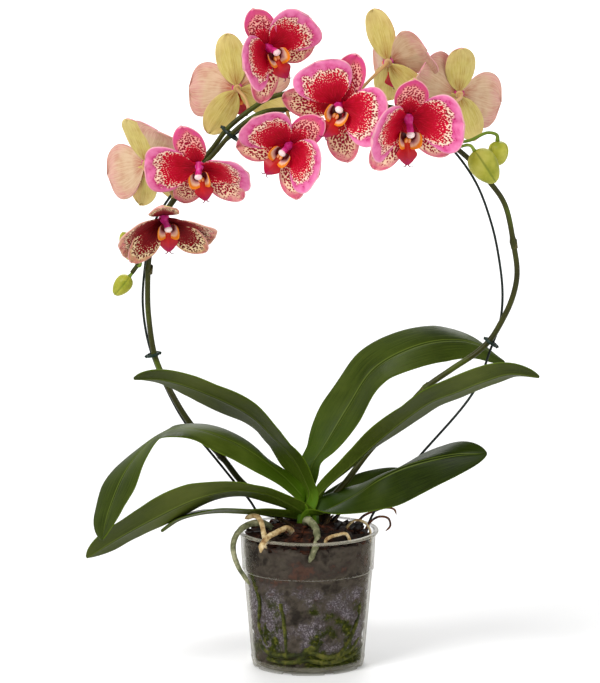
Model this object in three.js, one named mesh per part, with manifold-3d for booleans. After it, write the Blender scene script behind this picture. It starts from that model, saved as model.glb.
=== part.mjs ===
// A moth orchid in its clear growing pot, with two flower stems trained along a wire hoop.
// Millimetres, +Z up. The origin is the middle of the pot's foot, on the surface it stands on,
// and the hoop stands across X, with the flowers that face forward looking along -Y.

import * as THREE from 'three';
import * as BufferGeometryUtils from 'three/addons/utils/BufferGeometryUtils.js';
import Module from 'manifold-3d';

const wasm = await Module();
wasm.setup();

// ---------------------------------------------------------------- driving dimensions

const GAP = 0.3;                     // clearance kept between two pieces that touch in life

const POT_RIM_RADIUS = 60;           // a 12 cm growing pot
const POT_HEIGHT = 117;
const POT_STEP_HEIGHT = 84;          // where the wider upper band starts
const POT_FOOT_RADIUS = 47.2;
const POT_WALL = 1.4;
const POT_FLOOR = 2;                 // underside of the floor, above the surface
const POT_PAD_RADIUS = 12;           // flat middle pad, down on the surface
const POT_SIDES = 30;
const FOOT_NOTCHES = 8;
const DRAIN_SLOTS = 6;

const BARK_EDGE_HEIGHT = 110;
const BARK_CROWN_HEIGHT = 122;
const BARK_CHIPS = 13;

const CROWN_RADIUS = 11;
const CROWN_BOTTOM = 109;
const CROWN_TOP = 151;

const WIRE_RADIUS = 1.1;
const SPIKE_BASE_RADIUS = 2.7;
const SPIKE_TIP_RADIUS = 1.9;
const PEDICEL_RADIUS = 1.4;

const LEAF_THICKNESS = 2.2;
const SEPAL = { length: 44.5, width: 26.5, claw: 0.62, point: 0.52, shares: [-1, 0, 1] };
const PETAL = { length: 43, width: 49, claw: 0.8, point: 0.36, shares: [-1, 0, 1] };
const TEPAL_THICKNESS = 0.9;
const TEPAL_START = 3;               // where a tepal leaves the middle of its flower

const COLUMN_LENGTH = 11;
const COLUMN_RADIUS = 2.8;
const RECEPTACLE_RADIUS = 4.2;
const RECEPTACLE_DEPTH = 2.8;

// ---------------------------------------------------------------- finishes

function finish(color, roughness) {
  return new THREE.MeshStandardMaterial({ color, roughness, metalness: 0, side: THREE.DoubleSide });
}

const CLEAR_PLASTIC = finish(0x8c8880, 0.3);
const BARK = finish(0x3a2619, 0.95);
const CROWN_GREEN = finish(0x5f7d1e, 0.6);
const LEAF_GREEN = finish(0x48601f, 0.45);
const STEM_GREEN = finish(0x4d5718, 0.5);
const BUD_GREEN = finish(0xa8b045, 0.5);
const ROOT_TAN = finish(0x9b8d70, 0.8);
const WIRE_GREEN = finish(0x16241c, 0.4);
const CLIP_GREEN = finish(0x1e3a2c, 0.45);
const PETAL_PINK = finish(0xc62a63, 0.6);
const LIP_RED = finish(0xd2401f, 0.5);

// ---------------------------------------------------------------- vectors, solids and sheets

const point = ([x, y, z]) => new THREE.Vector3(x, y, z);
const radians = THREE.MathUtils.degToRad;
const orchid = new THREE.Group();

function random(seed) {
  let state = seed;
  return () => {
    state = (state * 16807) % 2147483647;
    return state / 2147483647;
  };
}

function routeThrough(points) {
  return new THREE.CatmullRomCurve3(points.map(point), false, 'centripetal');
}

function signedVolume(positions, indices) {
  const a = new THREE.Vector3();
  const b = new THREE.Vector3();
  const c = new THREE.Vector3();
  let sum = 0;
  for (let i = 0; i < indices.length; i += 3) {
    a.fromArray(positions, 3 * indices[i]);
    b.fromArray(positions, 3 * indices[i + 1]);
    c.fromArray(positions, 3 * indices[i + 2]);
    sum += a.dot(b.cross(c)) / 6;
  }
  return sum;
}

function closedGeometry(positions, indices) {
  if (signedVolume(positions, indices) < 0) {
    indices = indices.slice().reverse();
  }
  const geometry = new THREE.BufferGeometry();
  geometry.setAttribute('position', new THREE.Float32BufferAttribute(positions, 3));
  geometry.setIndex(indices);
  return geometry;
}

function solidFrom(geometry) {
  const bare = geometry.clone();
  bare.deleteAttribute('normal');
  bare.deleteAttribute('uv');
  const merged = BufferGeometryUtils.mergeVertices(bare, 1e-4);
  return new wasm.Manifold(new wasm.Mesh({
    numProp: 3,
    vertProperties: new Float32Array(merged.attributes.position.array),
    triVerts: new Uint32Array(merged.index.array),
  }));
}

function geometryFrom(solid) {
  const mesh = solid.getMesh();
  const geometry = new THREE.BufferGeometry();
  geometry.setAttribute('position', new THREE.Float32BufferAttribute(mesh.vertProperties, 3));
  geometry.setIndex(Array.from(mesh.triVerts));
  return geometry;
}

// the largest body that is left after a cut, without loose scraps
function mainBody(solid) {
  return solid.decompose().reduce((best, body) => (body.volume() > best.volume() ? body : best));
}

function joined(solids) {
  return solids.reduce((sum, solid) => sum.add(solid));
}

function cutBy(solid, cutters) {
  return mainBody(cutters.reduce((rest, cutter) => rest.subtract(cutter), solid));
}

// a closed sheet: a grid of points on its middle surface, thickened to both sides, with
// each cell split the same way on both faces
function sheet(grid, thicknessAt) {
  const rows = grid.length;
  const columns = grid[0].length;
  const positions = [];
  const along = new THREE.Vector3();
  const across = new THREE.Vector3();
  for (const side of [1, -1]) {
    for (let i = 0; i < rows; i += 1) {
      for (let j = 0; j < columns; j += 1) {
        along.subVectors(grid[Math.min(i + 1, rows - 1)][j], grid[Math.max(i - 1, 0)][j]);
        across.subVectors(grid[i][Math.min(j + 1, columns - 1)], grid[i][Math.max(j - 1, 0)]);
        const normal = new THREE.Vector3().crossVectors(along, across).normalize();
        const half = (side * thicknessAt(i / (rows - 1), (2 * j) / (columns - 1) - 1)) / 2;
        const place = grid[i][j].clone().addScaledVector(normal, half);
        positions.push(place.x, place.y, place.z);
      }
    }
  }
  const indices = [];
  const under = rows * columns;
  const at = (i, j) => i * columns + j;
  const quad = (a, b, c, d) => indices.push(a, b, c, a, c, d);
  for (let i = 0; i + 1 < rows; i += 1) {
    for (let j = 0; j + 1 < columns; j += 1) {
      const [a, b, c, d] = [at(i, j), at(i, j + 1), at(i + 1, j + 1), at(i + 1, j)];
      quad(a, b, c, d);
      indices.push(under + a, under + c, under + b, under + a, under + d, under + c);
    }
  }
  const edge = [];
  for (let j = 0; j < columns - 1; j += 1) edge.push(at(0, j));
  for (let i = 0; i < rows - 1; i += 1) edge.push(at(i, columns - 1));
  for (let j = columns - 1; j > 0; j -= 1) edge.push(at(rows - 1, j));
  for (let i = rows - 1; i > 0; i -= 1) edge.push(at(i, 0));
  edge.forEach((a, k) => {
    const b = edge[(k + 1) % edge.length];
    quad(b, a, under + a, under + b);
  });
  return closedGeometry(positions, indices);
}

// a closed stalk along a route, whose radius may change on the way
function stalk(route, steps, sides, radiusAt) {
  const frames = route.computeFrenetFrames(steps, false);
  const positions = [];
  const indices = [];
  for (let i = 0; i <= steps; i += 1) {
    const middle = route.getPointAt(i / steps);
    const radius = radiusAt(i / steps);
    for (let k = 0; k < sides; k += 1) {
      const angle = (2 * Math.PI * k) / sides;
      const place = middle.clone()
        .addScaledVector(frames.normals[i], radius * Math.cos(angle))
        .addScaledVector(frames.binormals[i], radius * Math.sin(angle));
      positions.push(place.x, place.y, place.z);
    }
  }
  for (let i = 0; i < steps; i += 1) {
    for (let k = 0; k < sides; k += 1) {
      const next = (k + 1) % sides;
      const [a, b] = [i * sides + k, i * sides + next];
      indices.push(a, b, b + sides, a, b + sides, a + sides);
    }
  }
  const last = steps * sides;
  for (let k = 1; k + 1 < sides; k += 1) {
    indices.push(0, k + 1, k, last, last + k, last + k + 1);
  }
  return closedGeometry(positions, indices);
}

function ball(centre, radius, sides) {
  return solidFrom(new THREE.SphereGeometry(radius, sides, Math.max(4, sides / 2))
    .translate(centre.x, centre.y, centre.z));
}

function addPiece(name, solid, material) {
  const mesh = new THREE.Mesh(geometryFrom(solid), material);
  mesh.name = name;
  orchid.add(mesh);
}

// ---------------------------------------------------------------- pot

function potWallRadius(z) {
  const foot = POT_FOOT_RADIUS + 1;
  const belowStep = 55.2;
  if (z < POT_STEP_HEIGHT) return foot + ((belowStep - foot) * (z - 8)) / (POT_STEP_HEIGHT - 8);
  return belowStep + 1 + (1.6 * (z - POT_STEP_HEIGHT)) / (POT_HEIGHT - POT_STEP_HEIGHT);
}

function turned(profile, sides) {
  const outline = profile.map(([radius, z]) => new THREE.Vector2(radius, z));
  return solidFrom(new THREE.LatheGeometry(outline, sides).rotateX(Math.PI / 2));
}

function potSolid() {
  const step = POT_STEP_HEIGHT;
  const top = POT_HEIGHT;
  const outer = [
    [0, 0], [POT_PAD_RADIUS, 0], [POT_PAD_RADIUS + 0.6, POT_FLOOR],
    [POT_FOOT_RADIUS - 3.2, POT_FLOOR], [POT_FOOT_RADIUS - 2.8, 0], [POT_FOOT_RADIUS, 0],
    [POT_FOOT_RADIUS + 1.5, 7.6], [potWallRadius(8.4), 8.4],
    [potWallRadius(step - 0.5), step - 0.5], [potWallRadius(step), step + 0.4],
    [potWallRadius(top - 2.2), top - 2.2], [POT_RIM_RADIUS, top - 2.2], [POT_RIM_RADIUS, top],
  ];
  const inner = [
    [potWallRadius(top) - POT_WALL, top], [potWallRadius(step) - POT_WALL, step + 0.8],
    [potWallRadius(step - 0.5) - POT_WALL, step - 0.8],
    [potWallRadius(8) - POT_WALL, 8],
    [POT_FOOT_RADIUS - 1, POT_FLOOR + POT_WALL], [0, POT_FLOOR + POT_WALL],
  ];
  const cutters = [];
  for (let k = 0; k < FOOT_NOTCHES; k += 1) {
    const notch = new THREE.BoxGeometry(16, 9, 3.2);
    notch.translate(POT_FOOT_RADIUS, 0, 0).rotateZ((2 * Math.PI * (k + 0.5)) / FOOT_NOTCHES);
    cutters.push(solidFrom(notch));
  }
  for (let k = 0; k < DRAIN_SLOTS; k += 1) {
    const slot = new THREE.BoxGeometry(14, 5, 10);
    slot.translate(31, 0, POT_FLOOR).rotateZ((2 * Math.PI * k) / DRAIN_SLOTS);
    cutters.push(solidFrom(slot));
  }
  return cutBy(turned([...outer, ...inner], POT_SIDES), cutters);
}

// ---------------------------------------------------------------- growing medium

function barkSolid(holes) {
  const inside = (z) => potWallRadius(z) - POT_WALL - GAP - 0.1;
  const fill = turned([
    [0, POT_FLOOR + POT_WALL + GAP], [POT_FOOT_RADIUS - 1.6, POT_FLOOR + POT_WALL + GAP],
    [inside(8) - 0.2, 8.6], [inside(82) - 0.3, POT_STEP_HEIGHT - 1.2],
    [inside(85), POT_STEP_HEIGHT + 1.2], [inside(BARK_EDGE_HEIGHT), BARK_EDGE_HEIGHT],
    [48, BARK_EDGE_HEIGHT + 3], [30, BARK_EDGE_HEIGHT + 6], [16, BARK_CROWN_HEIGHT - 1],
    [0, BARK_CROWN_HEIGHT],
  ], POT_SIDES);
  const draw = random(11);
  const chips = [];
  for (let k = 0; k < BARK_CHIPS; k += 1) {
    const radius = 12 + 34 * Math.sqrt((k + draw()) / BARK_CHIPS);
    const angle = k * 2.399963;
    const chip = new THREE.BoxGeometry(9 + 6 * draw(), 6 + 5 * draw(), 4 + 3 * draw());
    chip.rotateX(draw() - 0.5).rotateY(draw() - 0.5).rotateZ(6.28 * draw());
    const height = BARK_CROWN_HEIGHT - 1 - (radius / 50) * 8;
    chip.translate(radius * Math.cos(angle), radius * Math.sin(angle), height);
    chips.push(solidFrom(chip));
  }
  return cutBy(joined([fill, ...chips]), holes);
}

// ---------------------------------------------------------------- crown

function crownSolid(grown) {
  const radius = CROWN_RADIUS + grown;
  return turned([
    [0, CROWN_BOTTOM - grown], [radius * 0.6, CROWN_BOTTOM - grown],
    [radius * 0.8, CROWN_BOTTOM + 8], [radius, CROWN_BOTTOM + 22], [radius * 0.85, CROWN_TOP - 8],
    [radius * 0.4, CROWN_TOP + grown], [0, CROWN_TOP + grown],
  ], 12);
}

// ---------------------------------------------------------------- leaves

// Each leaf: the route of its midrib, its full width, the share of it at the base, where it
// is widest, and from base to tip the roll of the blade and the rise of its two halves.
const LEAVES = [
  {
    name: 'leaf_left_upper', width: 58, base: 0.29, widest: 0.58, roll: [-49, -15, -23, -29, -26],
    fold: [-28, -2, -3, 10],
    midrib: [[1, 1, 151], [-6, -1, 168], [-16, -5, 185], [-29, -9, 199], [-48, -13, 218],
      [-81, -21, 237], [-121, -25, 251], [-147, -25, 252]],
  },
  {
    name: 'leaf_right_upper', width: 56, base: 0.25, widest: 0.38, roll: [-12, -14, -21, -37, -19],
    fold: [14, 7, -25],
    midrib: [[0, 5, 149], [4, 11, 170], [13, 15, 183], [35, 27, 217], [56, 33, 248],
      [84, 40, 264], [114, 47, 271], [142, 52, 268], [169, 56, 251]],
  },
  {
    name: 'leaf_left_middle', width: 58, base: 0.33, widest: 0.54, roll: [42, 29, 11, -12, -12, -34],
    fold: [-15, -8, -4, 5],
    midrib: [[-7, -5, 148], [-19, -9, 162], [-39, -18, 180], [-63, -23, 196], [-91, -27, 207],
      [-113, -32, 209], [-129, -33, 202], [-151, -42, 178], [-166, -59, 146], [-172, -78, 124]],
  },
  {
    name: 'leaf_right_middle', width: 54, base: 0.2, widest: 0.59, roll: [42, 27, 23, 28, 35],
    fold: [23, 1, 13],
    midrib: [[8, -1, 144], [12, -4, 151], [39, -9, 177], [60, -12, 197], [101, -20, 230],
      [123, -25, 240], [151, -30, 252], [170, -35, 258], [194, -40, 256]],
  },
  {
    name: 'leaf_left_lower', width: 56, base: 0.36, widest: 0.6, roll: [-36, -25, -38, -41, -35],
    fold: [-13, 4, 3],
    midrib: [[-5, -7, 134], [-16, -12, 142], [-36, -17, 152], [-64, -23, 156], [-95, -31, 150],
      [-131, -37, 134], [-162, -44, 118], [-187, -44, 102]],
  },
  {
    name: 'leaf_right_lower', width: 57, base: 0.46, widest: 0.37, roll: [-20, -21, -41, -44, -54],
    fold: [32, -49, -6],
    midrib: [[5, -6, 130], [17, -9, 135], [41, -18, 150], [59, -24, 165], [81, -30, 177],
      [122, -41, 189], [150, -49, 192]],
  },
  {
    name: 'leaf_left_small', width: 34, base: 0.45, widest: 0.5, roll: [-38, -18, -10, -10],
    fold: [4, 4],
    midrib: [[-8, 2, 126], [-20, -1, 129], [-49, -4, 132], [-77, -6, 133.5], [-95, -7, 131.5],
      [-110, -8, 127], [-125, -9, 117]],
  },
  {
    name: 'leaf_right_small', width: 24, base: 0.45, widest: 0.5, roll: [-30, -35, -35],
    fold: [15, 5, 0],
    midrib: [[3, 3, 130], [19, 15, 138], [40, 22, 148], [62, 28, 156], [84, 32, 161]],
  },
];

function strapWidth(t, leaf) {
  if (t < leaf.widest) {
    return leaf.base + (1 - leaf.base) * Math.sin((t / leaf.widest) * (Math.PI / 2)) ** 1.3;
  }
  return (1 - ((t - leaf.widest) / (1 - leaf.widest)) ** 2.2) ** 0.62;
}

// an angle along a leaf, from evenly spaced stops
function alongLeaf(t, stops) {
  const at = t * (stops.length - 1);
  const k = Math.min(Math.floor(at), stops.length - 2);
  return radians(THREE.MathUtils.lerp(stops[k], stops[k + 1], at - k));
}

function leafSolid(leaf, grown) {
  const rows = 12;
  const shares = [-1, -0.6, 0, 0.6, 1];
  const route = routeThrough(leaf.midrib);
  const grid = [];
  for (let i = 0; i < rows; i += 1) {
    const t = i / (rows - 1);
    const middle = route.getPointAt(t);
    const forward = route.getTangentAt(t);
    const sideways = new THREE.Vector3().crossVectors(forward, new THREE.Vector3(0, 0, 1)).normalize();
    const upward = new THREE.Vector3().crossVectors(sideways, forward);
    const half = (leaf.width / 2) * Math.max(strapWidth(t, leaf), 0.03) + grown;
    grid.push(shares.map((share) => {
      const angle = alongLeaf(t, leaf.roll) + Math.sign(share) * alongLeaf(t, leaf.fold);
      return middle.clone()
        .addScaledVector(sideways, share * half * Math.cos(angle))
        .addScaledVector(upward, share * half * Math.sin(angle));
    }));
  }
  const blade = sheet(grid, (t, u) => LEAF_THICKNESS * (1 - 0.45 * u * u) + 2 * grown);
  return solidFrom(blade);
}

// ---------------------------------------------------------------- roots

// Each root: its route from the crown or the bark, and its radius at the start and the tip.
const ROOTS = [
  { name: 'root_over_rim_left', radii: [3.1, 1.8],
    route: [[-27, -4, 110], [-34, -8, 122], [-43, -14, 125.5], [-53, -22, 124.5], [-59, -26, 120],
      [-63, -28, 111], [-62.5, -29, 101], [-59, -31, 91], [-54, -33, 83], [-49, -34, 76]] },
  { name: 'root_curled_left', radii: [2.3, 2.1],
    route: [[-34, -37, 106], [-36.5, -38, 117], [-38.5, -32, 125.5], [-41, -23, 130.5],
      [-46.5, -14, 131.5], [-53.5, -9, 128]] },
  { name: 'root_over_rim_front', radii: [2.6, 2.2],
    route: [[-12, -20, 108], [-14, -24, 120], [-18, -29, 124], [-27, -41, 122.5],
      [-34, -50, 120.5], [-38.5, -56, 116], [-40, -57.5, 109]] },
  { name: 'root_into_pot', radii: [3.5, 2.5],
    route: [[-2, -7, 123], [-0.5, -14, 128], [4, -23, 126], [7.5, -34, 120.5], [7.5, -44, 115],
      [4.5, -49, 108], [0.8, -50, 99]] },
  { name: 'root_thin_loop', radii: [1.1, 1],
    route: [[29, -6, 106], [31, -8, 116], [34.7, -10, 123], [41, -10, 127], [48.5, -8, 124],
      [52.5, -8, 118], [53, -8, 107]] },
  { name: 'root_short_right', radii: [1.5, 1.4],
    route: [[15, -45, 106], [15, -45.5, 117], [18.5, -44, 119.5], [25, -38, 120], [32, -34, 120],
      [37, -32, 108]] },
  { name: 'root_dry_right', radii: [1.2, 0.8],
    route: [[46, 4, 106], [52, 4, 121], [60, 3, 127], [68, 2, 126], [70, 0, 120], [66, -2, 115.5]] },
  { name: 'root_dry_rear', radii: [1.3, 0.8],
    route: [[38, 30, 106], [46, 33, 120], [57, 36, 125], [68, 38, 127.5], [74, 38, 126],
      [76, 38, 121.5]] },
  { name: 'root_rear', radii: [2.4, 1.6],
    route: [[-6, 14, 110], [-10, 24, 122], [-18, 34, 123], [-26, 41, 119], [-30, 43, 106]] },
];

function rootSolid(root, grown) {
  const [thick, thin] = root.radii;
  return solidFrom(stalk(routeThrough(root.route), 10, 5,
    (t) => thick + (thin - thick) * t + grown));
}

// ---------------------------------------------------------------- wire hoop and flower stems

const HOOP_ROUTE = [
  [-34, 15, 55], [-36, 16, 108], [-47, 17, 134], [-63, 20, 154], [-87, 21, 184], [-104, 22, 204],
  [-119, 22, 231], [-134, 22, 268], [-140, 22, 302], [-139, 22, 333], [-131, 22, 375],
  [-117, 22, 399], [-100, 22, 421], [-77, 22, 440], [-64, 22, 451], [-41, 22, 465],
  [-16, 22, 473], [18, 22, 478], [48, 22, 478], [67, 22, 475.5], [94, 22, 463], [117, 22, 445],
  [141, 22, 413], [155, 22, 377], [162, 22, 345], [165, 22, 316], [163, 22, 292],
  [155, 22, 268], [141, 21, 232], [94, 19, 175], [74, 16, 150], [53, 14, 122], [45, 13, 55],
];

const LEFT_SPIKE_ROUTE = [
  [-4, 2, 137], [-23, 6, 139], [-39, 8, 143], [-56, 11, 155], [-73, 14, 176], [-100, 16, 205],
  [-116, 17, 231], [-126, 17, 252], [-131, 17, 267], [-135, 17, 295], [-136, 17, 315],
  [-134, 17, 352], [-127, 17, 376], [-112, 17, 400], [-95, 17, 424], [-80, 17, 442],
  [-68, 17, 458], [-46, 17, 476], [-35, 17, 483], [-19, 16, 488], [10, 15, 491], [39, 13, 486],
  [66, 11, 478], [94, 9, 466], [114, 8, 452], [122, 8, 446],
];

const RIGHT_SPIKE_ROUTE = [
  [4, 1, 134], [17, 4, 141], [31, 7, 155], [51, 11, 181], [76, 15, 209], [99, 17, 235],
  [122, 17, 252], [144, 17, 267], [155, 17, 278], [163, 17, 291], [173, 17, 313],
  [177, 17, 334], [174, 17, 359], [166, 17, 394], [153, 17, 413], [137, 17, 431],
  [122, 16.5, 444], [103, 16.5, 460], [86, 16.5, 471], [65, 16.5, 477], [27, 14, 479],
  [-16, 12, 475], [-33, 11, 474], [-46, 11, 469], [-66, 11, 453], [-78, 11, 439],
  [-94, 11, 422], [-112, 11, 399], [-129, 11, 374], [-140, 11, 351], [-144, 11, 343],
  [-149, 11, 336],
];

function hoopSolid(grown) {
  const ring = new THREE.Shape();
  ring.absarc(0, 0, WIRE_RADIUS + grown, 0, 2 * Math.PI);
  return solidFrom(new THREE.ExtrudeGeometry(ring, {
    curveSegments: 3, steps: 46, bevelEnabled: false, extrudePath: routeThrough(HOOP_ROUTE),
  }));
}

function branchSolid(route, grown) {
  return solidFrom(stalk(routeThrough(route), 4, 4, () => PEDICEL_RADIUS + grown));
}

function nodeRing(at, radius, grown) {
  return ball(point(at), radius + grown, 6);
}

function spikeSolid(route, branches, nodes, grown) {
  const radiusAt = (t) => SPIKE_BASE_RADIUS + (SPIKE_TIP_RADIUS - SPIKE_BASE_RADIUS) * t + grown;
  return joined([
    solidFrom(stalk(routeThrough(route), 38, 6, radiusAt)),
    ...branches.map((branch) => branchSolid(branch, grown)),
    ...nodes.map((node) => nodeRing(node, 3.2, grown)),
  ]);
}

// ---------------------------------------------------------------- flowers

// Each flower: the place of its middle, where it faces (turn to the right, tilt up, roll),
// the point where its stalk leaves the stem with one or two points on the way, and for each
// tepal its direction round the flower, its lean towards the front and its own twist.
const FLOWERS = [
  { name: 'flower_1', stem: 'left', at: [-60, 44, 489], turn: [181, -1, 13],
    stalk: [[-50, 17, 475], [-53, 23, 483]],
    dorsal: [92, 6, 9], petals: [[10, 32, 22], [160, 13, 1]], sepals: [[218, 19, 0], [315, 16, -5]] },
  { name: 'flower_2', stem: 'left', at: [-33, -14, 530], turn: [27, -17, -26],
    stalk: [[-30, 17, 485], [-36, 14, 500]],
    dorsal: [95, 16, -20], petals: [[29, 29, -5], [164, 44, 15]], sepals: [[237, 17, -1], [327, -4, 0]] },
  { name: 'flower_3', stem: 'left', at: [25, -20, 482], turn: [-10, -11, 29], size: 1.06,
    stalk: [[12, 15, 491], [18, 8, 496]],
    dorsal: [98, 10, 2], petals: [[21, 30, -15], [138, 24, 6]], sepals: [[207, -8, -8], [305, 3, 0]] },
  { name: 'flower_4', stem: 'right', at: [-16, -6, 447], turn: [-24, -18, 41],
    stalk: [[-18, 12, 475], [-16, 10, 467]],
    dorsal: [80, 12, 0], petals: [[19, 38, -9], [158, 36, 10]], sepals: [[224, 11, 1], [315, 15, 8]] },
  { name: 'flower_5', stem: 'left', at: [68, 46, 511], turn: [166, 5, 7],
    stalk: [[42, 13, 485], [45, 21, 491]],
    dorsal: [82, 3, -10], petals: [[14, 68, 0], [168, -25, 20]], sepals: [[236, 4, 10], [288, 40, 0]] },
  { name: 'flower_6', stem: 'left', at: [83, -35, 474], turn: [13, -24, 2], size: 1.1,
    stalk: [[80, 10, 472], [80, 0, 482]],
    dorsal: [97, 27, -7], petals: [[16, 40, -10], [180, 46, -2]], sepals: [[238, 19, 1], [322, 8, -7]] },
  { name: 'flower_7', stem: 'left', at: [128, 48, 484], turn: [190, 17, -13],
    stalk: [[103, 8.5, 461], [108, 15, 470]],
    dorsal: [74, -8, 0], petals: [[21, -10, 8], [189, 23, -30]], sepals: [[237, 6, 10], [317, 35, -10]] },
  { name: 'flower_8', stem: 'right', at: [-91, -14, 431], turn: [-2, -36, -13],
    stalk: [[-90, 11, 427], [-93, 8, 435]],
    dorsal: [93, 6, 1], petals: [[-4, 26, 14], [167, 5, 7]], sepals: [[237, 3, -7], [311, 21, -2]] },
  { name: 'flower_9', stem: 'right', at: [-121, -12, 386], turn: [6, -40, -3],
    stalk: [[-124, 11, 382], [-125, 6, 391]],
    dorsal: [92, 36, 0], petals: [[-16, 18, 22], [190, 34, -14]], sepals: [[222, 38, 0], [322, 26, 0]] },
  { name: 'flower_10', stem: 'right', at: [-137, 44, 425], turn: [159, 17, 19],
    stalk: [[-112, 11, 400], [-120, 16, 409]],
    dorsal: [100, -9, -15], petals: [[-4, 14, 29], [139, -18, 4]], sepals: [[262, 25, 10], [309, 17, 6]] },
];

function flowerFrame(flower) {
  const [yaw, tilt, roll] = flower.turn.map(radians);
  const front = new THREE.Vector3(
    Math.sin(yaw) * Math.cos(tilt), -Math.cos(yaw) * Math.cos(tilt), Math.sin(tilt));
  const level = new THREE.Vector3(0, 0, 1).addScaledVector(front, -front.z).normalize();
  const right = new THREE.Vector3().crossVectors(level, front);
  const top = level.clone().multiplyScalar(Math.cos(roll)).addScaledVector(right, Math.sin(roll));
  right.crossVectors(top, front);
  const size = flower.size ?? 1;
  return new THREE.Matrix4().makeBasis(right, top, front)
    .scale(new THREE.Vector3(size, size, size)).setPosition(point(flower.at));
}

// one sepal or petal in its flower's own axes: it leaves the middle, leans forward and rolls
// gently back, and its two edges lift to the front
function tepalSolid(shape, [azimuth, lean, twist], level, grown) {
  const rows = [0, 0.2, 0.5, 0.8, 1];
  const outward = new THREE.Vector3(Math.cos(radians(azimuth)), Math.sin(radians(azimuth)), 0);
  const front = new THREE.Vector3(0, 0, 1);
  const side = new THREE.Vector3().crossVectors(front, outward);
  const widest = shape.claw / (shape.claw + shape.point);
  const peak = widest ** shape.claw * (1 - widest) ** shape.point;
  const cup = radians(17);
  const middle = outward.clone().multiplyScalar(TEPAL_START).addScaledVector(front, level);
  let before = 0;
  const grid = rows.map((v) => {
    const rise = radians(lean - 8 * ((v + before) / 2));
    middle.addScaledVector(outward, shape.length * (v - before) * Math.cos(rise));
    middle.addScaledVector(front, shape.length * (v - before) * Math.sin(rise));
    before = v;
    const face = outward.clone().multiplyScalar(-Math.sin(rise)).addScaledVector(front, Math.cos(rise));
    const turn = radians(twist);
    const across = side.clone().multiplyScalar(Math.cos(turn)).addScaledVector(face, Math.sin(turn));
    const lift = face.clone().multiplyScalar(Math.cos(turn)).addScaledVector(side, -Math.sin(turn));
    const wide = (v ** shape.claw * (1 - v) ** shape.point) / peak;
    const half = (shape.width / 2) * Math.max(wide, v < 0.5 ? 0.12 : 0.07) + grown;
    return shape.shares.map((share) => middle.clone()
      .addScaledVector(across, (half * Math.sin(cup * share)) / cup)
      .addScaledVector(lift, (half * (1 - Math.cos(cup * share))) / cup));
  });
  return solidFrom(sheet(grid, () => TEPAL_THICKNESS + 2 * grown));
}

// the column stands on the receptacle, where the sepals and petals meet
function columnSolid(grown) {
  const route = routeThrough([
    [0, 0, -RECEPTACLE_DEPTH - grown], [0, 0, 2], [0, 0.5, 6], [0, -0.6, COLUMN_LENGTH]]);
  const radiusAt = (t) => (t < 0.3 ? RECEPTACLE_RADIUS : COLUMN_RADIUS) * (t > 0.9 ? 0.7 : 1) + grown;
  return solidFrom(stalk(route, 4, 6, radiusAt));
}

function flowerSolid(flower, grown) {
  const [rightPetal, leftPetal] = flower.petals;
  const [leftSepal, rightSepal] = flower.sepals;
  const body = joined([
    tepalSolid(SEPAL, flower.dorsal, -1.1, grown), tepalSolid(SEPAL, leftSepal, -1.1, grown),
    tepalSolid(SEPAL, rightSepal, -1.1, grown), tepalSolid(PETAL, rightPetal, 1.1, grown),
    tepalSolid(PETAL, leftPetal, 1.1, grown), columnSolid(grown),
  ]);
  return body.transform(flowerFrame(flower).elements);
}

// ---------------------------------------------------------------- lips

// the two side lobes stand up round the column as one open cup, lower at its middle
function sideLobesSolid() {
  const grid = [0, 1].map((height) => [-205, -150, -90, -30, 25].map((turn) => {
    const away = Math.abs(turn + 90) / 120;
    const rise = 3 + 9 * Math.sin(Math.PI * Math.min(1, away * 0.9) ** 1.1);
    const radius = 4.8 + 6.4 * height ** 0.7;
    return new THREE.Vector3(
      radius * Math.cos(radians(turn)), radius * Math.sin(radians(turn)) - 2.4, 4.4 + rise * height);
  }));
  return solidFrom(sheet(grid, () => 0.8));
}

function middleLobeSolid() {
  const stations = [[2.2, -3.4, 2.6], [2.8, -8, 6], [7.4, -16.5, 13], [1.4, -23, 15.2]];
  const grid = stations.map(([half, y, z]) => [-1, 0, 1].map((share) => new THREE.Vector3(
    share * half, y - Math.abs(share) * half * 0.12, z - Math.abs(share) * half * 0.25)));
  return solidFrom(sheet(grid, () => 1.1));
}

function lipSolid(flower, cutters) {
  const tendrils = [-1, 1].map((hand) => solidFrom(stalk(routeThrough(
    [[0, -21.5, 14.8], [hand * 3, -24.5, 16.5], [hand * 6, -23, 20]]), 2, 3, () => 0.6)));
  const body = joined([sideLobesSolid(), middleLobeSolid(), ...tendrils]);
  return cutBy(body.transform(flowerFrame(flower).elements), cutters);
}

// ---------------------------------------------------------------- buds

// Each bud: its base, its tip, its greatest radius, and its stalk from the stem.
const BUDS = [
  { name: 'bud_right_large', stem: 'left', base: [139.5, -5, 442], tip: [157.5, -4, 415], radius: 12.2,
    stalk: [[121, 8, 446], [127, 5, 444.5], [133.5, -1, 446.5]] },
  { name: 'bud_right_small', stem: 'left', base: [159.6, 17, 447.5], tip: [161.6, 16, 427], radius: 8.6,
    stalk: [[120, 8, 447], [136, 10, 449], [151, 14, 455]] },
  { name: 'bud_left_upper', stem: 'right', base: [-146, 11, 347], tip: [-157, 11, 371], radius: 7.6,
    stalk: [[-141, 11, 350], [-142, 7, 343]] },
  { name: 'bud_left_lower', stem: 'right', base: [-151, 11, 333], tip: [-164, 11, 317], radius: 7.4,
    stalk: [[-146, 11, 340]] },
];

function budFrame(bud) {
  const axis = point(bud.tip).sub(point(bud.base)).normalize();
  const turn = new THREE.Quaternion().setFromUnitVectors(new THREE.Vector3(0, 0, 1), axis);
  return new THREE.Matrix4().compose(point(bud.base), turn, new THREE.Vector3(1, 1, 1));
}

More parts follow.
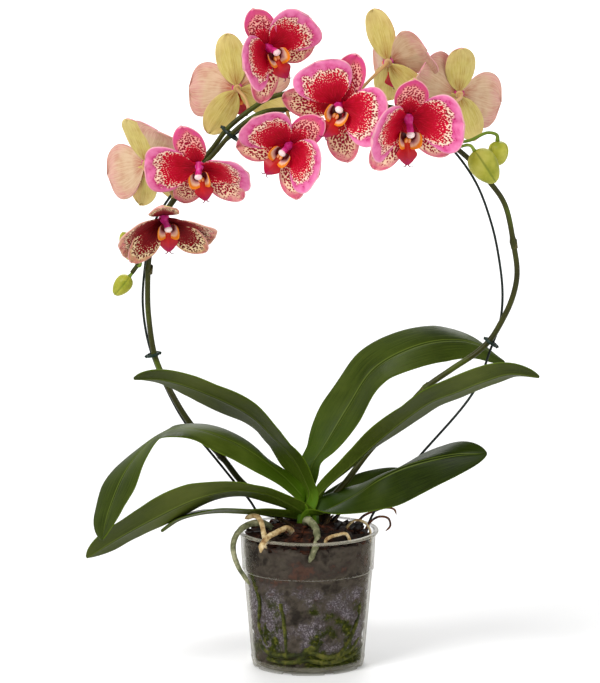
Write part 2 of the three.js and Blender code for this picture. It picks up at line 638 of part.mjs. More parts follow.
function budSolid(bud) {
  const length = point(bud.tip).distanceTo(point(bud.base));
  const profile = [[0, 0], [0.4, 0.02], [0.84, 0.15], [1, 0.38], [0.84, 0.68], [0.4, 0.93], [0, 1]];
  const solid = turned(profile.map(([r, z]) => [r * bud.radius, z * length]), 9);
  return solid.transform(budFrame(bud).elements);
}

// ---------------------------------------------------------------- clips

// Each clip is a soft plastic loop round the stems and the wire, with two small ears.
const CLIPS = [
  { name: 'clip_left', at: [-131.6, 19, 264.5], along: [-4, 0, 15], size: [4.9, 5.8], turn: 0 },
  { name: 'clip_right', at: [155.4, 19, 275], along: [12, 0, 17], size: [5.2, 5.8], turn: 0 },
  { name: 'clip_top', at: [-66, 16.6, 454], along: [12, 0, 14], size: [7.6, 8.6], turn: 0 },
];

function clipSolid(clip, cutters) {
  const [wide, deep] = clip.size;
  const wall = 1.1;
  const tall = 3.4;
  const loop = new THREE.Shape();
  loop.absellipse(0, 0, wide + wall, deep + wall, 0, 2 * Math.PI);
  const inside = new THREE.Path();
  inside.absellipse(0, 0, wide, deep, 0, 2 * Math.PI, true);
  loop.holes.push(inside);
  const band = solidFrom(new THREE.ExtrudeGeometry(loop, {
    depth: tall, curveSegments: 5, bevelEnabled: false,
  }).translate(0, 0, -tall / 2));
  const ears = [-1, 1].map((hand) => solidFrom(
    new THREE.BoxGeometry(6, 1.6, tall).rotateZ(hand * 0.5).translate(hand * (wide + 2.6), -2, 0)));
  const along = point(clip.along).normalize();
  const across = new THREE.Vector3(0, 1, 0).cross(along).normalize();
  const depth = new THREE.Vector3().crossVectors(along, across);
  const frame = new THREE.Matrix4().makeBasis(across, depth, along).setPosition(point(clip.at));
  return cutBy(joined([band, ...ears]).transform(frame.elements), cutters);
}

// ---------------------------------------------------------------- assembly

// a flower's or bud's stalk ends square against the back of what it carries
function stalkRoute(item) {
  const seat = new THREE.Vector3(0, 0, item.base ? -GAP : -RECEPTACLE_DEPTH - GAP);
  const approach = seat.clone().setZ(seat.z - 5);
  const frame = item.base ? budFrame(item) : flowerFrame(item);
  return [...item.stalk, ...[approach, seat].map((place) => place.applyMatrix4(frame).toArray())];
}

const branchesOf = (stem) => [...FLOWERS, ...BUDS].filter((item) => item.stem === stem)
  .map(stalkRoute);

const LEFT_NODES = [[-134.6, 17, 336], [-73, 14, 176]];
const RIGHT_NODES = [[174.3, 17, 358], [99, 17, 235]];
const leftSpike = (grown) => spikeSolid(LEFT_SPIKE_ROUTE, branchesOf('left'), LEFT_NODES, grown);
const rightSpike = (grown) => spikeSolid(RIGHT_SPIKE_ROUTE, branchesOf('right'), RIGHT_NODES, grown);

const crownRoom = crownSolid(GAP);
const hoopRoom = hoopSolid(GAP);
const leftRoom = leftSpike(GAP);
const rightRoom = rightSpike(GAP);
const stemRooms = [crownRoom, hoopRoom, leftRoom, rightRoom];

addPiece('pot', potSolid(), CLEAR_PLASTIC);
addPiece('bark_mix', barkSolid([
  crownRoom, hoopRoom, ...ROOTS.map((root) => rootSolid(root, GAP)),
]), BARK);
addPiece('crown', crownSolid(0), CROWN_GREEN);
addPiece('wire_hoop', hoopSolid(0), WIRE_GREEN);
addPiece('spike_left', cutBy(leftSpike(0), [crownRoom]), STEM_GREEN);
addPiece('spike_right', cutBy(rightSpike(0), [crownRoom]), STEM_GREEN);

const leafRooms = [];
for (const leaf of LEAVES) {
  addPiece(leaf.name, cutBy(leafSolid(leaf, 0), [...stemRooms, ...leafRooms]), LEAF_GREEN);
  leafRooms.push(leafSolid(leaf, GAP));
}

const rootRooms = [];
for (const root of ROOTS) {
  addPiece(root.name, cutBy(rootSolid(root, 0), [crownRoom, hoopRoom, ...rootRooms]), ROOT_TAN);
  rootRooms.push(rootSolid(root, GAP));
}

for (const clip of CLIPS) {
  addPiece(clip.name, clipSolid(clip, [hoopRoom, leftRoom, rightRoom]), CLIP_GREEN);
}

for (const bud of BUDS) {
  addPiece(bud.name, cutBy(budSolid(bud), [leftRoom, rightRoom]), BUD_GREEN);
}

const flowerRooms = [];
for (const flower of FLOWERS) {
  const others = [hoopRoom, leftRoom, rightRoom, ...flowerRooms];
  addPiece(flower.name, cutBy(flowerSolid(flower, 0), others), PETAL_PINK);
  flowerRooms.push(flowerSolid(flower, GAP));
}
FLOWERS.forEach((flower) => {
  const name = flower.name.replace('flower', 'lip');
  addPiece(name, lipSolid(flower, flowerRooms), LIP_RED);
});

export default orchid;
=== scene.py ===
import math
import random

import bpy
from mathutils import Matrix, Vector, noise


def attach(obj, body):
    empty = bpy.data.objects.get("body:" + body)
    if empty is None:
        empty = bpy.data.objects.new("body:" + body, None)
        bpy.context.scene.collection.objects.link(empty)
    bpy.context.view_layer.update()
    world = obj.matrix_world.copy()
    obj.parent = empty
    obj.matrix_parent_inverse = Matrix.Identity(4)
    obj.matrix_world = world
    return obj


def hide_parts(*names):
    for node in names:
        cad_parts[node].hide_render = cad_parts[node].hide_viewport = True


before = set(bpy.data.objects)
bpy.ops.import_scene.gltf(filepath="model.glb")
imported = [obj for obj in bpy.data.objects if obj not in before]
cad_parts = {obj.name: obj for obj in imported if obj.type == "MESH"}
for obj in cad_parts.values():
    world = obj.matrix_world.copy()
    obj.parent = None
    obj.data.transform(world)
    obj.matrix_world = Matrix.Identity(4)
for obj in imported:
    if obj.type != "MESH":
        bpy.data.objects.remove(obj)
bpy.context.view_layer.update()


# ---------------------------------------------------------------- studio
# A plain pale floor under a bright even sky, with a large soft lamp to the upper left and a
# wide one to the right. The camera stands four metres back and looks slightly down. Only the
# floor, the lamps and the camera are given in metres.

MM = 0.001
CAMERA_PLACE = (-0.00684, -4.0, 0.98)
CAMERA_PITCH = 80.06
CAMERA_LENS = 253.24
FLOOR_SIZE = 60
SKY_STRENGTH = 0.62
PLANT = (0, 0, 0.3)
LAMPS = {
    "key_lamp": {"place": (-1.7, -2.0, 2.6), "aim": PLANT, "size": 1.4, "power": 78},
    "fill_lamp": {"place": (2.4, -1.8, 1.3), "aim": PLANT, "size": 2.2, "power": 22},
    "backdrop_lamp": {"place": (0, 5.5, 3.4), "aim": (0, 4, 0), "size": 4, "power": 260},
}


def colour(red, green, blue):
    """A colour as it looks on screen, 0 to 255, in the linear values that shaders take."""
    parts = (part / 255 for part in (red, green, blue))
    return (*(((p + 0.055) / 1.055) ** 2.4 if p > 0.04045 else p / 12.92 for p in parts), 1)


class Finish:
    """A material for one kind of surface, with short ways to add and join its nodes. Tones
    are given as red, green and blue as they look on screen, 0 to 255."""

    def __init__(self, name, **sockets):
        self.material = bpy.data.materials.new(name)
        self.material.use_nodes = True
        self.tree = self.material.node_tree
        self.shader = self.tree.nodes["Principled BSDF"]
        self.set(**sockets)

    def set(self, **sockets):
        for name, value in sockets.items():
            self.join(value, self.shader.inputs[name.replace("_", " ")])

    def join(self, value, socket):
        if isinstance(value, bpy.types.NodeSocket):
            self.tree.links.new(value, socket)
        else:
            socket.default_value = colour(*value) if socket.type == "RGBA" else value

    def add(self, kind, values, **settings):
        made = self.tree.nodes.new("ShaderNode" + kind)
        for name, value in settings.items():
            setattr(made, name, value)
        for socket, value in values.items():
            self.join(value, made.inputs[socket])
        return made

    def place(self):
        return self.add("TexCoord", {}).outputs["Object"]

    def noise(self, scale, vector=None, detail=4.0, roughness=0.5):
        values = {"Vector": vector or self.place(), "Scale": scale, "Detail": detail,
                  "Roughness": roughness}
        return self.add("TexNoise", values).outputs["Fac"]

    def ramp(self, factor, stops):
        made = self.add("ValToRGB", {0: factor})
        elements = made.color_ramp.elements
        for index, (position, tone) in enumerate(stops):
            element = elements[index] if index < 2 else elements.new(position)
            element.position = position
            element.color = colour(*tone) if isinstance(tone, tuple) else (tone, tone, tone, 1)
        return made.outputs[0]


def alone(*pieces):
    """Leaves only these pieces selected, or none, so that an operator acts on nothing else."""
    bpy.ops.object.select_all(action="DESELECT")
    for piece in pieces:
        piece.select_set(True)
    if pieces:
        bpy.context.view_layer.objects.active = pieces[0]


def coat(piece, *finishes):
    for finish in finishes:
        piece.data.materials.append(finish.material)


alone()
bpy.ops.mesh.primitive_plane_add(size=FLOOR_SIZE, location=(0, 0, 0))
floor = bpy.context.object
floor.name = "studio_floor"
floor_finish = Finish("pale_floor", Roughness=0.9)
floor_finish.set(Base_Color=floor_finish.ramp(
    floor_finish.noise(2.0), [(0.3, (243, 243, 243)), (0.7, (247, 247, 247))]))
coat(floor, floor_finish)

for name, lamp in LAMPS.items():
    bpy.ops.object.light_add(type="AREA", location=lamp["place"])
    light = bpy.context.object
    light.name = name
    light.data.shape = "DISK"
    light.data.size = lamp["size"]
    light.data.energy = lamp["power"]
    aim = Vector(lamp["aim"]) - light.location
    light.rotation_euler = aim.to_track_quat("-Z", "Y").to_euler()

sky = bpy.data.worlds.new("even_sky")
sky.use_nodes = True
sky.node_tree.nodes["Background"].inputs["Color"].default_value = (1, 1, 1, 1)
sky.node_tree.nodes["Background"].inputs["Strength"].default_value = SKY_STRENGTH
bpy.context.scene.world = sky
bpy.context.scene.view_settings.view_transform = "Standard"

bpy.ops.object.camera_add(location=CAMERA_PLACE, rotation=(math.radians(CAMERA_PITCH), 0, 0))
camera = bpy.context.object
camera.data.lens = CAMERA_LENS
bpy.context.scene.camera = camera


# ---------------------------------------------------------------- pot
# A 12 cm growing pot of thin clear plastic, moulded in one piece: a straight taper, a step to
# the wider upper band, a folded rim, drain slots in the floor and notches in the foot ring.

POT_HEIGHT = 117
POT_STEP = 84
POT_FOOT = 47.2
POT_FOOT_RING = 8
POT_TAPER = 7
POT_BAND = 56.2
POT_BAND_TAPER = 1.6
POT_RIM = 60
POT_WALL = 1.4
POT_SIDES = 128
FOOT_NOTCHES = {"count": 8, "start": 0.5, "radius": POT_FOOT, "height": 0, "size": (16, 9, 3.2)}
DRAIN_SLOTS = {"count": 6, "start": 0, "radius": 31, "height": 2, "size": (14, 5, 10)}
# Bands where the wall is less clear: at the rim and the step, thicker plastic and a painted
# highlight line;
# at the foot ring, thicker plastic. From and to a height, how softly, how much.
CLOUDY_AND_HIGHLIGHT_BANDS = [
    (POT_HEIGHT - 1.7, POT_HEIGHT + 1, 0.3, 0.5), (POT_STEP - 0.4, POT_STEP + 0.2, 0.3, 0.2),
    (-1, 6, 2, 0.2)]
VEIL_MOST = 0.92


def wall_radius(height):
    """The radius of the pot's outer wall at a height."""
    if height < POT_STEP:
        share = (height - POT_FOOT_RING) / (POT_STEP - POT_FOOT_RING)
        return POT_FOOT + 1 + POT_TAPER * share
    return POT_BAND + POT_BAND_TAPER * (height - POT_STEP) / (POT_HEIGHT - POT_STEP)


def settle_place(piece):
    """Puts the piece's place into its mesh, so that its object sits at the origin."""
    piece.data.transform(piece.matrix_world)
    piece.matrix_world = Matrix.Identity(4)


def thrown(name, outline, sides):
    """A round solid raised ring by ring from a disc, along an outline of radii and heights."""
    radius, height = outline[0]
    alone()
    bpy.ops.mesh.primitive_circle_add(
        vertices=sides, radius=radius * MM, location=(0, 0, height * MM), fill_type="NGON")
    piece = bpy.context.object
    piece.name = name
    bpy.ops.object.mode_set(mode="EDIT")
    for radius_next, height_next in outline[1:]:
        rise = (0, 0, (height_next - height) * MM)
        bpy.ops.mesh.extrude_region_move(TRANSFORM_OT_translate={"value": rise})
        widen = radius_next / radius
        bpy.ops.transform.resize(value=(widen, widen, 1), center_override=(0, 0, height_next * MM))
        radius, height = radius_next, height_next
    bpy.ops.mesh.select_all(action="SELECT")
    bpy.ops.mesh.normals_make_consistent(inside=False)
    bpy.ops.object.mode_set(mode="OBJECT")
    settle_place(piece)
    return piece


def block(place, angles, size):
    """A plain block at a place, turned by its angles."""
    alone()
    bpy.ops.mesh.primitive_cube_add(
        size=1, location=Vector(place) * MM, rotation=angles, scale=[side * MM for side in size])
    piece = bpy.context.object
    settle_place(piece)
    return piece


def apply(piece, kind, **settings):
    """Adds a modifier to a piece with these settings and applies it."""
    alone(piece)
    modifier = piece.modifiers.new(kind.lower(), kind)
    for name, value in settings.items():
        setattr(modifier, name, value)
    bpy.ops.object.modifier_apply(modifier=modifier.name)


def join_pieces(name, pieces):
    """Joins several pieces into one object of this name."""
    alone(*pieces)
    if len(pieces) > 1:
        bpy.ops.object.join()
    pieces[0].name = name
    return pieces[0]


def smooth(piece, angle=180):
    alone(piece)
    bpy.ops.object.shade_smooth_by_angle(angle=math.radians(angle))


def hand_over(piece, slot, *nodes):
    """The piece stays with the plant and stands for CAD nodes, which it hides. The slot is not
    used.
    """
    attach(piece, "root")
    if nodes:
        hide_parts(*nodes)


def cut_away(piece, cutters):
    tool = join_pieces("cutter", cutters)
    apply(piece, "BOOLEAN", operation="DIFFERENCE", solver="EXACT", object=tool)
    bpy.data.objects.remove(tool)


pot_outline = [
    # the middle pad, the floor and the foot ring
    (12, 0), (12.6, 2), (44, 2), (44.4, 0), (POT_FOOT - 0.4, 0), (POT_FOOT, 0.4),
    # up the outside, over the step
    (POT_FOOT + 1.4, 7.4), (wall_radius(8.4), 8.4), (wall_radius(46), 46),
    (wall_radius(POT_STEP - 0.6), POT_STEP - 0.6), (wall_radius(POT_STEP), POT_STEP + 0.2),
    (wall_radius(100), 100), (wall_radius(POT_HEIGHT - 2.4), POT_HEIGHT - 2.4),
    # round the rim
    (POT_RIM - 0.5, POT_HEIGHT - 2.2), (POT_RIM, POT_HEIGHT - 1.7),
    (POT_RIM, POT_HEIGHT - 0.5), (POT_RIM - 0.5, POT_HEIGHT),
    (wall_radius(POT_HEIGHT) - POT_WALL + 0.4, POT_HEIGHT),
    # down the inside to the floor
    (wall_radius(POT_HEIGHT) - POT_WALL, POT_HEIGHT - 0.5),
    (wall_radius(POT_STEP) - POT_WALL, POT_STEP + 0.9),
    (wall_radius(POT_STEP - 0.6) - POT_WALL, POT_STEP - 0.9),
    (wall_radius(46) - POT_WALL, 46), (wall_radius(8) - POT_WALL, 8), (POT_FOOT - 1, 3.4), (2, 3.4),
]
pot = thrown("pot_shell", pot_outline, POT_SIDES)
cutters = []
for cut in (FOOT_NOTCHES, DRAIN_SLOTS):
    for index in range(cut["count"]):
        turn = 2 * math.pi * (index + cut["start"]) / cut["count"]
        place = (cut["radius"] * math.cos(turn), cut["radius"] * math.sin(turn), cut["height"])
        cutters.append(block(place, (0, 0, turn), cut["size"]))
cut_away(pot, cutters)
smooth(pot, angle=40)


def maths(finish, operation, first, second=0.0, third=0.0):
    values = {0: first, 1: second, 2: third}
    return finish.add("Math", values, operation=operation).outputs[0]


def rescaled(finish, value, low, high, low_out=0.0, high_out=1.0):
    values = {0: value, 1: low, 2: high, 3: low_out, 4: high_out}
    return finish.add("MapRange", values, interpolation_type="SMOOTHSTEP").outputs[0]


def stretched(finish, vector, scale):
    return finish.add("Mapping", {"Vector": vector, "Scale": scale}).outputs[0]


def height_of(finish):
    return finish.add("SeparateXYZ", {0: finish.place()}).outputs["Z"]


def band(finish, low, high, soft):
    """1 between two heights in millimetres, 0 outside them, with soft limits."""
    height = height_of(finish)
    above = rescaled(finish, height, (low - soft) * MM, low * MM)
    below = rescaled(finish, height, (high + soft) * MM, high * MM)
    return maths(finish, "MULTIPLY", above, below)


def relief(finish, height, depth, strength):
    """Bumps the surface by height, 0 to 1, over a depth in millimetres."""
    values = {"Height": height, "Distance": depth * MM, "Strength": strength}
    finish.set(Normal=finish.add("Bump", values).outputs[0])


plastic = Finish("clear_pot_plastic", Roughness=0.2, IOR=1.49, Specular_IOR_Level=0.3)
scuffs = plastic.noise(42, stretched(plastic, plastic.place(), (1, 1, 0.4)), 6)
facing = plastic.add("LayerWeight", {"Blend": 0.5}).outputs["Facing"]
veil = maths(plastic, "POWER", rescaled(plastic, facing, 0.3, 1.05), 3)
# Each band makes the wall less clear; at the rim and the step this paints a pale highlight line.
for low, high, soft, share in CLOUDY_AND_HIGHLIGHT_BANDS:
    cloudy_and_highlight = maths(plastic, "MULTIPLY", band(plastic, low, high, soft), share)
    veil = maths(plastic, "ADD", veil, cloudy_and_highlight)
plastic.set(
    Base_Color=plastic.ramp(scuffs, [(0.3, (126, 122, 104)), (0.75, (168, 164, 148))]),
    Alpha=maths(plastic, "MINIMUM", veil, VEIL_MOST),
    Roughness=maths(plastic, "MULTIPLY_ADD", scuffs, 0.2, 0.2))
relief(plastic, plastic.noise(60, detail=2), 0.1, 0.3)
coat(pot, plastic)
hand_over(pot, "pot_plastic", "pot")


# ---------------------------------------------------------------- growing medium
# Orchid bark: rough reddish chips heaped a little towards the crown, and below them a dark
# packed fill of bark and coir, which shows through the clear wall with algae near the bottom.

CHIP_KINDS = 5
TOP_CHIPS = 230
GOLDEN_ANGLE = 2.399963
HEAP_TOP = 122
HEAP_FALL = 12
HEAP_RADIUS = 51.5
CHIP_REACH = 54.2
# No chip lies where a root dives in at the front, within a half width of its middle.
FRONT_GAP = {"middle": 6, "half": 7, "edge": -39}
FILL_SIDES = 200
FILL_ROWS = 110
FILL_GAP = 2.4
# The fill's outline from its floor to its top: the share of the way, and radius and height.
FILL_OUTLINE = [
    (0, (0, 4)), (0.08, (POT_FOOT - 2, 4)), (0.12, (wall_radius(9) - 2.2, 9)),
    (0.62, (wall_radius(82) - FILL_GAP, 82)), (0.64, (wall_radius(85) - FILL_GAP, 86)),
    (0.83, (wall_radius(109) - FILL_GAP, 109)), (0.88, (50, 111.5)), (0.96, (22, 118)),
    (1, (0, HEAP_TOP)),
]
# The fill stands back from that root.
HOLLOW_SPOTS = ((1, -55, 101), (4, -54, 109))
HOLLOW_DEPTH = 6.5
HOLLOW_REACH = 9


def sheet_grid(name, columns, rows, place):
    """A grid that is laid point by point: place(u, v) gives each place, in millimetres."""
    alone()
    bpy.ops.mesh.primitive_grid_add(x_subdivisions=columns, y_subdivisions=rows, size=1)
    piece = bpy.context.object
    piece.name = name
    for vertex in piece.data.vertices:
        vertex.co = place(vertex.co.x + 0.5, vertex.co.y + 0.5) * MM
    return piece


def rolled_grid(name, columns, rows, place):
    """A grid that is rolled up into a closed body, with its meeting edges joined."""
    piece = sheet_grid(name, columns, rows, place)
    alone(piece)
    bpy.ops.object.mode_set(mode="EDIT")
    bpy.ops.mesh.select_all(action="SELECT")
    bpy.ops.mesh.remove_doubles(threshold=1e-6)
    bpy.ops.mesh.dissolve_degenerate(threshold=1e-6)
    bpy.ops.object.mode_set(mode="OBJECT")
    smooth(piece)
    return piece


def between(stops, share):
    """The value at a share of the way, on straight lines between (share, value) stops."""
    for (low, start), (high, end) in zip(stops, stops[1:]):
        if share <= high:
            return start + (end - start) * max(0.0, (share - low) / (high - low))
    return stops[-1][1]


def fill_place(u, v):
    """A place on the fill: its outline, with seams between lumps and a grain on them."""
    stops = [(share, Vector(spot)) for share, spot in FILL_OUTLINE]
    radius, height = between(stops, v)
    turn = 2 * math.pi * u
    place = Vector((radius * math.cos(turn), radius * math.sin(turn), height))
    lumps = noise.voronoi(place * 0.13)[0]
    seam = 2.4 * max(0, 1 - (lumps[1] - lumps[0]) / 0.34) ** 1.5
    inward = seam + 1.4 * abs(noise.noise(place * 0.2))
    middle = Vector((0, 0, min(max(height, 12), 96)))
    away = (place - middle).normalized() if place != middle else Vector((0, 0, 1))
    beside_root = min((place - Vector(spot)).length for spot in HOLLOW_SPOTS)
    hollow = HOLLOW_DEPTH * math.exp(-(beside_root / HOLLOW_REACH) ** 2)
    return place - away * (inward * min(1, radius / 12) + hollow)


fill = rolled_grid("bark_fill", FILL_SIDES, FILL_ROWS, fill_place)


def blended(finish, factor, first, second):
    values = {0: factor, 6: first, 7: second}
    return finish.add("Mix", values, data_type="RGBA").outputs[2]


def layered(finish, tone, *layers):
    """Lays tones over a tone in turn, each by its mask and the share that it may cover."""
    for mask, share, over in layers:
        tone = blended(finish, maths(finish, "MULTIPLY", mask, share), tone, over)
    return tone


def worn(finish, cloud, least, most):
    """Lets the roughness follow a cloud, between two values."""
    finish.set(Roughness=rescaled(finish, cloud, 0.3, 0.7, least, most))


packed = Finish("packed_bark", Roughness=0.95, Specular_IOR_Level=0.1)
grain = packed.noise(300, detail=6, roughness=0.6)
chunks = packed.noise(46, detail=4, roughness=0.6)
bark_tone = packed.ramp(chunks, [
    (0.34, (42, 37, 32)), (0.46, (75, 68, 59)), (0.58, (61, 54, 48)), (0.65, (82, 58, 48)),
    (0.72, (62, 53, 46))])
speckle = rescaled(packed, packed.noise(620, detail=5, roughness=0.75), 0.47, 0.62)
dust = blended(packed, speckle, (76, 70, 73), (148, 140, 145))
dust_patch = rescaled(packed, packed.noise(44, detail=6, roughness=0.62), 0.42, 0.64)
algae = packed.ramp(grain, [(0.3, (24, 28, 2)), (0.54, (46, 52, 8)), (0.74, (104, 106, 40))])
algae_patch = rescaled(packed, packed.noise(52, detail=5, roughness=0.62), 0.52, 0.64)
low_patch = rescaled(packed, packed.noise(34, detail=4), 0.36, 0.52)
packed.set(Base_Color=layered(
    packed, bark_tone,
    (band(packed, 22, 68, 12), dust_patch, dust),
    (band(packed, 12, 56, 14), algae_patch, algae),
    (band(packed, 0, 15, 8), low_patch, algae)))
worn(packed, grain, 0.85, 1.0)
relief(packed, maths(packed, "MULTIPLY_ADD", packed.noise(150, detail=1), 0.1, chunks), 1.2, 0.3)
coat(fill, packed)
hand_over(fill, "bark", "bark_mix")

chip_finish = Finish("bark_chips", Roughness=0.9, Specular_IOR_Level=0.2)
chip_grain = chip_finish.noise(
    150, stretched(chip_finish, chip_finish.place(), (1, 1, 3.5)), 8, 0.65)
chip_finish.set(Base_Color=blended(
    chip_finish, rescaled(chip_finish, chip_finish.noise(70, detail=2), 0.4, 0.6),
    chip_finish.ramp(chip_grain, [(0.3, (18, 7, 2)), (0.5, (46, 21, 9)), (0.72, (98, 50, 26))]),
    chip_finish.ramp(chip_grain, [(0.3, (12, 8, 5)), (0.55, (28, 18, 11)), (0.78, (64, 44, 28))])))
worn(chip_finish, chip_grain, 0.7, 0.97)
relief(chip_finish, chip_grain, 0.9, 0.9)


def chip_kinds():
    """A few rough chips, each a cube broken up by a fractal subdivision."""
    kinds = []
    for index in range(CHIP_KINDS):
        alone()
        bpy.ops.mesh.primitive_cube_add(size=1)
        chip = bpy.context.object
        bpy.ops.object.mode_set(mode="EDIT")
        bpy.ops.mesh.subdivide(
            number_cuts=2, fractal=1.1, fractal_along_normal=0.35, seed=3 + index)
        bpy.ops.object.mode_set(mode="OBJECT")
        kinds.append(chip)
    return kinds


def scatter(name, kinds, matrices, finish):
    """Copies the kinds in turn to each place, and joins them as one piece."""
    copies = []
    for index, matrix in enumerate(matrices):
        copy = bpy.data.objects.new(name, kinds[index % len(kinds)].data.copy())
        copy.data.transform(matrix)
        bpy.context.collection.objects.link(copy)
        copies.append(copy)
    for kind in kinds:
        bpy.data.objects.remove(kind)
    piece = join_pieces(name, copies)
    coat(piece, finish)
    smooth(piece, angle=34)
    return piece


def turned_place(place, angles, size):
    """Where a copy goes: a place and size in millimetres, turned by three angles."""
    turn = Matrix.Rotation(angles[2], 4, "Z") @ Matrix.Rotation(angles[1], 4, "Y") \
        @ Matrix.Rotation(angles[0], 4, "X")
    sides = Matrix.Diagonal((*(Vector(size) * MM), 1))
    return Matrix.Translation(Vector(place) * MM) @ turn @ sides


def chip_places():
    """Chips strewn in a spiral over the heap, each with its own length, lean and turn."""
    draw = random.Random(7)
    places = []
    for index in range(TOP_CHIPS):
        radius = HEAP_RADIUS * math.sqrt((index + draw.random()) / TOP_CHIPS)
        turn = index * GOLDEN_ANGLE
        height = HEAP_TOP - HEAP_FALL * (radius / 52) ** 0.8 + draw.uniform(-2, 2.6)
        length = draw.uniform(8, 17)
        size = (length, length * draw.uniform(0.4, 0.7), length * draw.uniform(0.2, 0.36))
        reach = min(radius, CHIP_REACH - length * 0.5)
        place = (reach * math.cos(turn), reach * math.sin(turn), height)
        if abs(place[0] - FRONT_GAP["middle"]) < FRONT_GAP["half"] \
                and place[1] < FRONT_GAP["edge"]:
            continue
        angles = (draw.gauss(0, 0.4), draw.gauss(0, 0.4), draw.uniform(0, 6.28))
        places.append(turned_place(place, angles, size))
    return places


top_bark = scatter("bark_chips", chip_kinds(), chip_places(), chip_finish)
hand_over(top_bark, "bark")


# ---------------------------------------------------------------- roots
# Thick aerial roots with a spongy grey-green to tan skin. Some climb over the rim, some dive
# into the bark, a few are dry and thread-like, and more of them press on the wall inside.

ROOTS = {
    "root_over_rim_left": {"radii": (3.1, 1.8), "skin": "green", "route": [
        (-27, -4, 110), (-34, -8, 122), (-43, -14, 125.5), (-53, -22, 124.5), (-59, -26, 120),
        (-63, -28, 111), (-62.5, -29, 101), (-59, -31, 91), (-54, -33, 83), (-49, -34, 76)]},
    "root_curled_left": {"radii": (2.3, 2.1), "skin": "tan", "route": [
        (-34, -37, 106), (-36.5, -38, 117), (-38.5, -32, 125.5), (-41, -23, 130.5),
        (-46.5, -14, 131.5), (-53.5, -9, 128)]},
    "root_over_rim_front": {"radii": (2.6, 2.2), "skin": "tan", "route": [
        (-12, -20, 108), (-14, -24, 120), (-18, -29, 124), (-27, -41, 122.5), (-34, -50, 120.5),
        (-38.5, -56, 116), (-40, -57.5, 109)]},
    "root_into_pot": {"radii": (3.5, 2.5), "skin": "green", "route": [
        (-2, -7, 123), (-0.5, -14, 128), (4, -23, 126), (7.5, -34, 120.5), (7.5, -44, 115),
        (4.5, -49, 108), (0.8, -50, 99)]},
    "root_thin_loop": {"radii": (1.1, 1), "skin": "tan", "route": [
        (29, -6, 106), (31, -8, 116), (34.7, -10, 123), (41, -10, 127), (48.5, -8, 124),
        (52.5, -8, 118), (53, -8, 107)]},
    "root_short_right": {"radii": (1.5, 1.4), "skin": "tan", "route": [
        (15, -45, 106), (15, -45.5, 117), (18.5, -44, 119.5), (25, -38, 120), (32, -34, 120),
        (37, -32, 108)]},
    "root_dry_right": {"radii": (1.2, 0.8), "skin": "dry", "route": [
        (46, 4, 106), (52, 4, 121), (60, 3, 127), (68, 2, 126), (70, 0, 120), (66, -2, 115.5)]},
    "root_dry_rear": {"radii": (1.3, 0.8), "skin": "dry", "route": [
        (38, 30, 106), (46, 33, 120), (57, 36, 125), (68, 38, 127.5), (74, 38, 126),
        (76, 38, 121.5)]},
    "root_rear": {"radii": (2.4, 1.6), "skin": "green", "route": [
        (-6, 14, 110), (-10, 24, 122), (-18, 34, 123), (-26, 41, 119), (-30, 43, 106)]},
}
# Roots that lie against the inside of the wall: their radius and (angle, height) stops.
WALL_ROOTS = [
    (2.4, [(-150, 20), (-130, 16), (-105, 17), (-86, 20), (-70, 15), (-45, 17), (-20, 26)]),
    (2.0, [(-140, 11), (-112, 10), (-92, 13), (-74, 10.5), (-52, 11), (-25, 14), (0, 12)]),
    (1.8, [(-118, 62), (-115, 46), (-114, 30), (-113, 14)]),
    (2.1, [(-60, 12), (-47, 22), (-32, 40), (-26, 58)]),
    (1.7, [(-75, 30), (-82, 24), (-92, 22), (-101, 14)]),
    (2.2, [(170, 12), (140, 18), (110, 13), (80, 16), (45, 12), (20, 20)]),
    (1.9, [(150, 70), (130, 50), (118, 30), (100, 20)]),
    (2.0, [(60, 92), (52, 66), (64, 44), (50, 22)]),
    (1.8, [(-155, 84), (-146, 60), (-150, 38), (-138, 22)]),
    (3.4, [(-101, 11), (-94, 19), (-86, 24), (-78, 23)]),
]


def smooth_route(points, steps):
    """steps + 1 evenly spaced places on one smooth curve through the points."""
    stops = [Vector(point) for point in points]
    stops = [2 * stops[0] - stops[1], *stops, 2 * stops[-1] - stops[-2]]
    fine = []
    for a, b, c, d in zip(stops, stops[1:], stops[2:], stops[3:]):
        before, inside, after = (math.sqrt((q - p).length) for p, q in ((a, b), (b, c), (c, d)))
        leave = ((b - a) / before - (c - a) / (before + inside) + (c - b) / inside) * inside
        arrive = ((c - b) / inside - (d - b) / (inside + after) + (d - c) / after) * inside
        for k in range(24):
            t = k / 24
            fine.append(b * (2 * t**3 - 3 * t * t + 1) + leave * (t**3 - 2 * t * t + t)
                        + c * (3 * t * t - 2 * t**3) + arrive * (t**3 - t * t))
    fine.append(stops[-2])
    lengths = [0.0]
    for a, b in zip(fine, fine[1:]):
        lengths.append(lengths[-1] + (b - a).length)
    even, k = [], 0
    for index in range(steps + 1):
        wanted = lengths[-1] * index / steps
        while k < len(fine) - 2 and lengths[k + 1] < wanted:
            k += 1
        share = (wanted - lengths[k]) / (lengths[k + 1] - lengths[k])
        even.append(fine[k].lerp(fine[k + 1], share))
    return even


def route_frames(places):
    """For each place of a route: its direction and two directions square to it, untwisted."""
    frames, side = [], None
    for index, place in enumerate(places):
        ahead = places[min(index + 1, len(places) - 1)] - places[max(index - 1, 0)]
        ahead.normalize()
        if side is None:
            side = ahead.orthogonal()
        side = (side - ahead * side.dot(ahead)).normalized()
        frames.append((place, ahead, side, ahead.cross(side)))
    return frames


def tube(name, points, radius_at, steps, sides):
    """A closed tube along a smooth curve, whose radius may change on the way and round it."""
    frames = route_frames(smooth_route(points, steps))
    rows = steps + 2

    def place(u, v):
        row = round(v * rows)
        index = min(max(row - 1, 0), steps)
        middle, _, side, other = frames[index]
        turn = 2 * math.pi * u
        radius = 0 if row in (0, rows) else radius_at(index / steps, turn)
        return middle + (side * math.cos(turn) + other * math.sin(turn)) * radius

    return rolled_grid(name, sides, rows, place)


